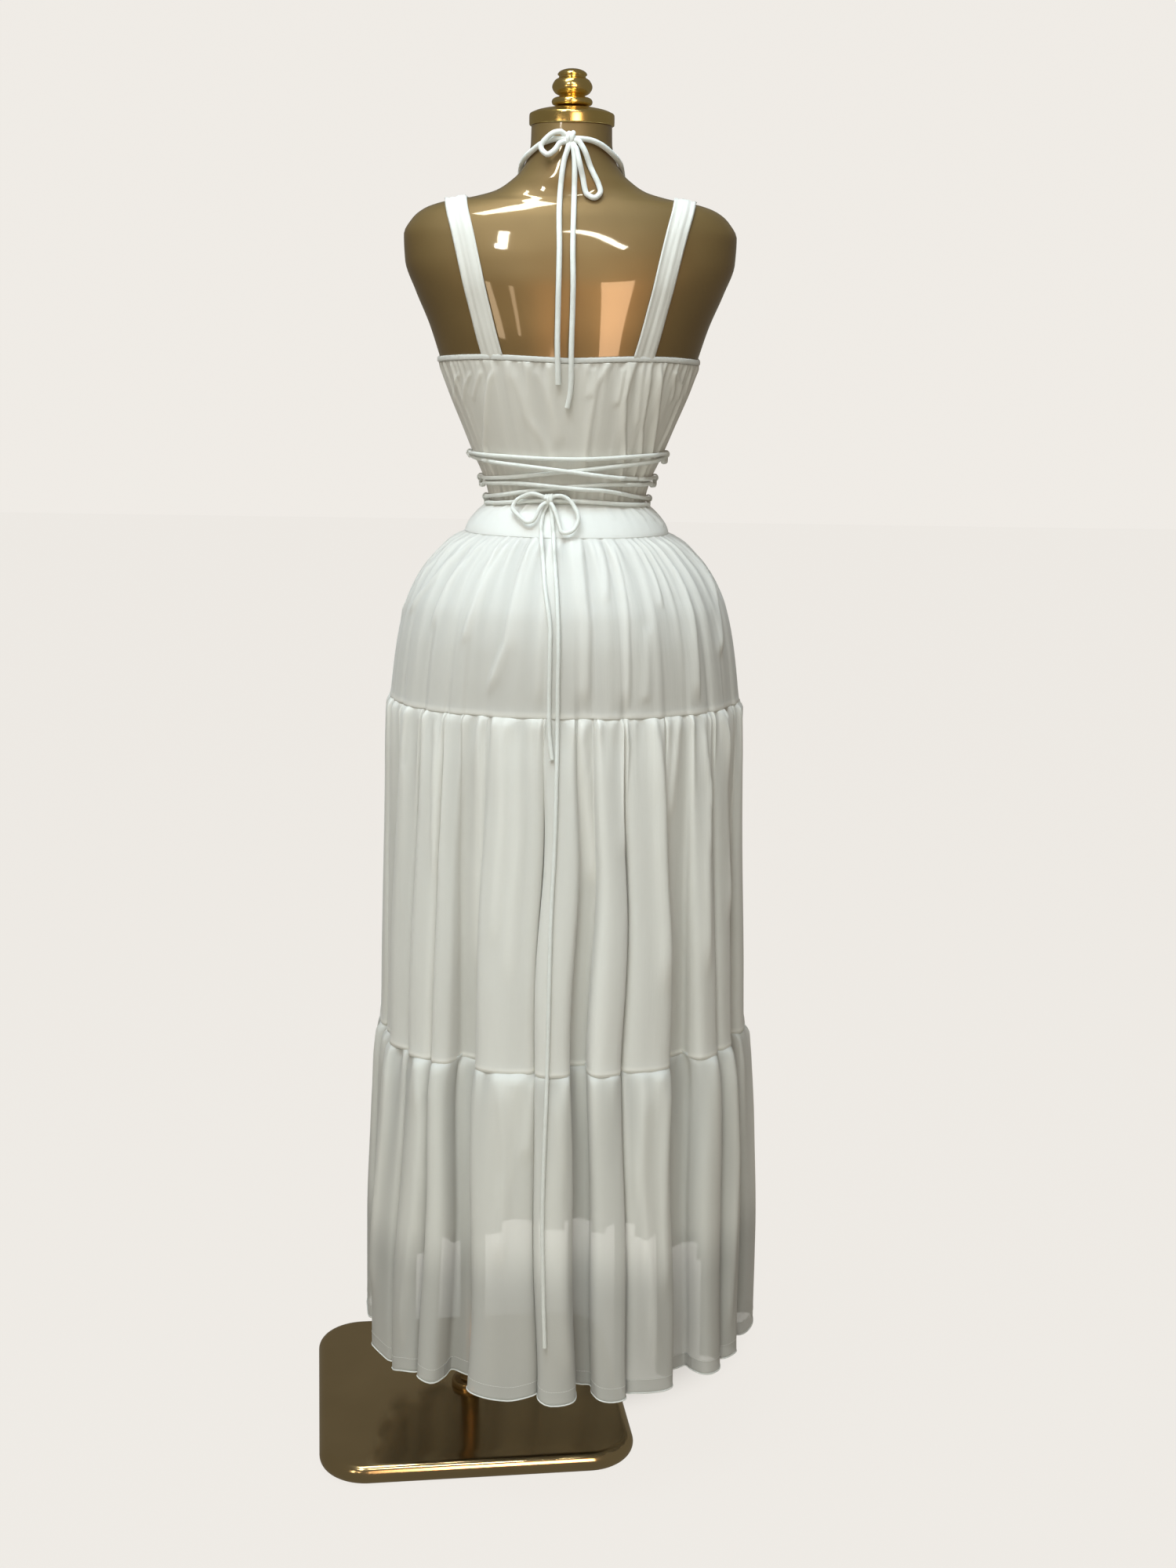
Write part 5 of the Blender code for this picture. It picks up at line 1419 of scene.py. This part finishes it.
def build_lacing(tree, finish):
    """Two laces that start together at the top left loop, cross, and meet in the bow."""
    x, z = WAIST_KNOT
    cover = tree.ray_cast(Vector((FORM_X + x, 1.0, z)), Vector((0, -1, 0)))[0]
    centre = np.array((FORM_X + x, cover.y + 0.0062, z))
    size = (0.0068, 0.0058, 0.0064)
    knot = build_knot("waist_knot", tuple(centre), size, LACE, 2.2, finish, "lace_knot")
    span = {name: thin(laid(route, LACE, tree)) for name, route in LACE_SPANS.items()}
    left, right = ([pair[k] for pair in LACE_LOOPS] for k in (0, 1))
    top = loop_centre(1, left[0])
    start = [tuple(top + np.array(step)) for step in ((0.0, -0.004, 0.001), (0.0, 0.006, 0.001))]
    inner = [tuple(top + np.array(step)) for step in ((0.0, -0.004, -0.0035), (0.0, 0.006, -0.0035))]
    first = (
        inner + span["b_down"] + through_loop(-1, right[1]) + span["c_up"] + through_loop(1, left[2])
        + span["d_left"] + [tuple(centre)] + span["bow_left"] + [tuple(centre + np.array((0.001, 0, -0.003)))]
        + span["tail_short"]
    )
    second = (
        start + span["a"] + through_loop(-1, right[0]) + span["b_up"] + through_loop(1, left[1])
        + span["c_down"] + through_loop(-1, right[2]) + span["d_right"] + [tuple(centre)] + span["bow_right"]
        + [tuple(centre + np.array((-0.001, 0, -0.003)))] + span["tail_long"]
    )
    lace_left = cord_piece("lace_left", first, LACE, finish, (
        "lace_b_down", "lace_c_up", "lace_d_left", "lace_bow_left", "lace_tail_short"))
    lace_right = cord_piece("lace_right", second, LACE, finish, (
        "lace_a", "lace_b_up", "lace_c_down", "lace_d_right", "lace_bow_right", "lace_tail_long"))
    return [(lace_left, first[0]), (lace_right, second[0])], knot


# ---------------------------------------------------------------- put together
def place_camera():
    data = bpy.data.cameras.new("camera")
    data.sensor_width = 36
    data.lens = 46.8
    data.clip_end = 60
    camera = bpy.data.objects.new("camera", data)
    bpy.context.scene.collection.objects.link(camera)
    turn = (Matrix.Rotation(math.pi, 4, "Z") @ Matrix.Rotation(math.radians(77.8), 4, "X")
            @ Matrix.Rotation(math.radians(0.84), 4, "Z"))
    camera.matrix_world = Matrix.Translation(CAMERA_PLACE) @ turn
    bpy.context.scene.camera = camera


def lamp(name, place, target, size, power, colour=(1, 1, 1), shape="SQUARE", glossy=False):
    data = bpy.data.lights.new(name, "AREA")
    data.shape = shape
    data.size = size[0] if isinstance(size, tuple) else size
    if isinstance(size, tuple):
        data.size_y = size[1]
    data.energy = power
    data.color = colour
    made = bpy.data.objects.new(name, data)
    bpy.context.scene.collection.objects.link(made)
    made.location = place
    way = Vector(target) - Vector(place)
    made.rotation_euler = way.to_track_quat("-Z", "Y").to_euler()
    made.visible_glossy = glossy
    return made


def glint(name, height, degrees, size, power, colour, turn):
    """A lamp that only the gloss of the form shows, set where it mirrors the camera's view of one spot."""
    step = 0.002
    spot = body_surface(np.array(height), degrees)
    up = body_surface(np.array(height + step), degrees) - spot
    aside = body_surface(np.array(height), degrees + 0.5) - spot
    normal = Vector(np.cross(up, aside)).normalized()
    seen = (Vector(CAMERA_PLACE) - Vector(spot)).normalized()
    if normal.dot(seen) < 0:
        normal = -normal
    way = 2 * normal.dot(seen) * normal - seen
    place = Vector(spot) + way * GLINT_DISTANCE
    made = lamp(name, place, spot, size, power, colour, "RECTANGLE", True)
    spin = Matrix.Rotation(math.radians(turn), 3, "Z")
    made.rotation_euler = (made.rotation_euler.to_matrix() @ spin).to_euler()
    made.visible_diffuse = False
    made.visible_transmission = False
    made.visible_camera = False
    return made


def light_scene():
    scene = bpy.context.scene
    lamp("above", (0.10, 0.45, 3.2), (-0.1, 0.2, 0.9), 1.6, 40, (0.72, 0.97, 1.12))
    lamp("overhead", (0.5, 1.3, 3.2), (-0.1, 0.0, 0.9), 2.0, 38, (1.0, 1.0, 0.96))
    lamp("front", (0.3, 3.6, 0.5), (-0.1, 0.0, 0.8), 1.6, 22, (0.90, 1.05, 0.95))
    lamp("low", (-0.12, 1.15, 0.12), (-0.12, 0.2, 0.33), 0.7, 1.2, (1.0, 1.0, 0.97))
    warm, cool = (1.0, 0.93, 0.74), (1.0, 0.97, 0.90)
    for each in (
        ("streak at the nape", 1.5540, -19.0, (1.15, 0.30), 26, warm, 78),
        ("streak below the nape", 1.5167, 10.5, (0.75, 0.11), 10, warm, -40),
        ("spot", 1.5077, -21.5, (0.16, 0.13), 3.0, cool, 0),
        ("copper patch", 1.4435, 14.5, (0.80, 1.40), 36, (1.0, 0.62, 0.36), 0),
        ("left patch", 1.4596, -28.0, (0.22, 0.9), 4.0, (1.0, 0.74, 0.48), 0),
        ("middle patch", 1.4325, -18.0, (0.10, 0.7), 1.2, (1.0, 0.72, 0.46), 0),
        ("neck light", 1.6250, -12.0, (0.16, 0.5), 9, warm, 0),
    ):
        glint(*each)
    world = bpy.data.worlds.new("room")
    world.use_nodes = True
    scene.world = world
    nodes, links = world.node_tree.nodes, world.node_tree.links
    nodes.clear()
    path = nodes.new("ShaderNodeLightPath")
    out = nodes.new("ShaderNodeOutputWorld")
    strengths = (
        ("seen", (*IVORY, 1), 1.0),
        ("soft", (1.0, 0.92, 0.78, 1), 0.28),
        ("gloss", (0.36, 0.32, 0.25, 1), 0.45),
    )
    shades = {}
    for name, colour, strength in strengths:
        made = nodes.new("ShaderNodeBackground")
        made.inputs["Color"].default_value = colour
        made.inputs["Strength"].default_value = strength
        shades[name] = made.outputs[0]
    shine = nodes.new("ShaderNodeMixShader")
    links.new(path.outputs["Is Glossy Ray"], shine.inputs[0])
    links.new(shades["soft"], shine.inputs[1])
    links.new(shades["gloss"], shine.inputs[2])
    view = nodes.new("ShaderNodeMixShader")
    links.new(path.outputs["Is Camera Ray"], view.inputs[0])
    links.new(shine.outputs[0], view.inputs[1])
    links.new(shades["seen"], view.inputs[2])
    links.new(view.outputs[0], out.inputs["Surface"])
    scene.view_settings.view_transform = "Standard"
    scene.view_settings.look = "None"


def build_floor():
    """A pale floor that glows evenly and fades into the room. In a patch under and in front of the dress the glow
    gives way to the lit floor, a painted shadow that holds real shadow too.
    """
    mesh = bpy.data.meshes.new("floor")
    mesh.from_pydata([(-9, -14, 0), (9, -14, 0), (9, 6, 0), (-9, 6, 0)], [], [(0, 1, 2, 3)])
    made, nodes, links, shader = new_finish("pale floor")
    shader.inputs["Base Color"].default_value = (0.80, 0.775, 0.735, 1)
    shader.inputs["Roughness"].default_value = 0.9
    shader.inputs["Specular IOR Level"].default_value = 0.0
    glow = nodes.new("ShaderNodeEmission")
    glow.inputs["Color"].default_value = (*IVORY, 1)
    place = nodes.new("ShaderNodeTexCoord").outputs["Object"]
    # Painted shadow: an oval patch off the dress's middle, under and in front of it, where the even glow gives
    # way to the lit floor and its real shadows.
    centre, reach = (FORM_X, FORM_Y - 0.23), (0.28, 0.30)
    fit = nodes.new("ShaderNodeMapping")
    fit.inputs["Location"].default_value = (-centre[0] / reach[0], -centre[1] / reach[1], 0)
    fit.inputs["Scale"].default_value = (1 / reach[0], 1 / reach[1], 1)
    links.new(place, fit.inputs["Vector"])
    near = nodes.new("ShaderNodeVectorMath")
    near.operation = "LENGTH"
    links.new(fit.outputs[0], near.inputs[0])
    share = nodes.new("ShaderNodeMapRange")
    share.interpolation_type = "SMOOTHSTEP"
    share.inputs["From Min"].default_value = 0.45
    share.inputs["From Max"].default_value = 1.05
    share.inputs["To Min"].default_value = 0.20
    share.inputs["To Max"].default_value = 0.97
    links.new(near.outputs["Value"], share.inputs["Value"])
    mix = nodes.new("ShaderNodeMixShader")
    links.new(share.outputs[0], mix.inputs[0])
    links.new(shader.outputs[0], mix.inputs[1])
    links.new(glow.outputs[0], mix.inputs[2])
    links.new(mix.outputs[0], nodes["Material Output"].inputs["Surface"])
    floor = add_object("floor", mesh, made)
    floor.visible_glossy = False
    floor.visible_diffuse = False


def main():
    place_camera()
    light_scene()
    build_floor()
    # One crepe in four tones: tier 1, the bodice and the straps are painted darker and the yoke painted lighter
    # than the plain crepe, as painted shade and painted light.
    crepe = opaque_cloth("opaque crepe", (0.765, 0.742, 0.700))
    tier1_crepe_painted_shade = opaque_cloth("crepe with painted shade for tier 1", (0.700, 0.678, 0.642))
    yoke_crepe_painted_light = opaque_cloth("crepe with painted light for the yoke", (0.850, 0.840, 0.810))
    bodice_strap_crepe_painted_shade = opaque_cloth("crepe with painted shade for the bodice and straps", (0.735, 0.700, 0.645))
    chiffon = sheer_cloth("sheer chiffon", 0.62)
    hem_cloth = sheer_cloth("sheer chiffon, doubled at the hem", 0.40)
    cord_finish = cord_cloth()
    thread = thread_cloth()
    coat = form_coat()
    gold = polished("polished gold", (0.86, 0.70, 0.30), (0.74, 0.56, 0.22), 0.16, 0.10)
    dark_gold = polished("dark polished gold", (0.42, 0.30, 0.15), (0.30, 0.21, 0.10), 0.20, 0.08)
    plate_metal = polished("polished dark gold", (0.66, 0.54, 0.33), (0.52, 0.42, 0.25), 0.10, 0.10)

    torso = build_torso(coat)
    stand = build_stand(gold, dark_gold, plate_metal)
    columns = fold_columns(640)
    tier1, tier2, tier3, tier3_points, tier3_heights = build_tiers(tier1_crepe_painted_shade, crepe, chiffon, columns)
    lining = build_lining(crepe, columns)
    yoke = build_yoke(yoke_crepe_painted_light)
    bodice = build_bodice(bodice_strap_crepe_painted_shade)
    binding = build_binding(crepe)
    straps, strap_lines = build_straps(bodice_strap_crepe_painted_shade, torso)
    hem_turn, hem_roll, hem_line = build_hem(tier3_points, tier3_heights, hem_cloth, cord_finish)

    stitches = stitch_tree()
    values = {"Pitch": 0.0031, "Stitch Length": 0.0022, "Thread": 0.00026, "Finish": thread}
    hem_stitches = grown("hem_stitches", [(hem_line, True)], stitches, values)
    values = {**values, "Pitch": 0.0025, "Stitch Length": 0.0018}
    strap_stitches = [
        grown("strap_left_stitches", strap_lines[:2], stitches, values),
        grown("strap_right_stitches", strap_lines[2:], stitches, values),
    ]

    places = []
    for height_left, height_right in LACE_LOOPS:
        for sign, height in ((1, height_left), (-1, height_right)):
            centre = loop_centre(sign, height)
            ways = np.linspace(0, 2 * math.pi, 28, endpoint=False)
            x, z = centre[0] + LOOP_RADIUS * np.cos(ways), centre[2] + LOOP_RADIUS * np.sin(ways)
            places.append((sign, np.stack([x, np.full(28, centre[1]), z], -1)))
    loops = []
    tree = loop_tree()
    for name, sign in (("left", 1), ("right", -1)):
        rings = [(line, True) for side, line in places if side == sign]
        made = grown(f"lace_loops_{name}", rings, tree, {"Finish": thread})
        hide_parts(*[f"lace_loop_{name}_{k}" for k in (1, 2, 3)])
        loops.append(made)

    back_tree = tree_of([torso, *SURFACES])
    neck_ties, neck_knot = build_neck_tie(back_tree, cord_finish)
    laces, lace_knot = build_lacing(back_tree, cord_finish)

    every = [torso, *stand, bodice, yoke, tier1, tier2, tier3, lining, binding, *straps, hem_turn, hem_roll,
             hem_stitches, *strap_stitches, *loops, *(tie for tie, _ in neck_ties), neck_knot,
             *(lace for lace, _ in laces), lace_knot]
    for made in every:
        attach(made, "root")


main()
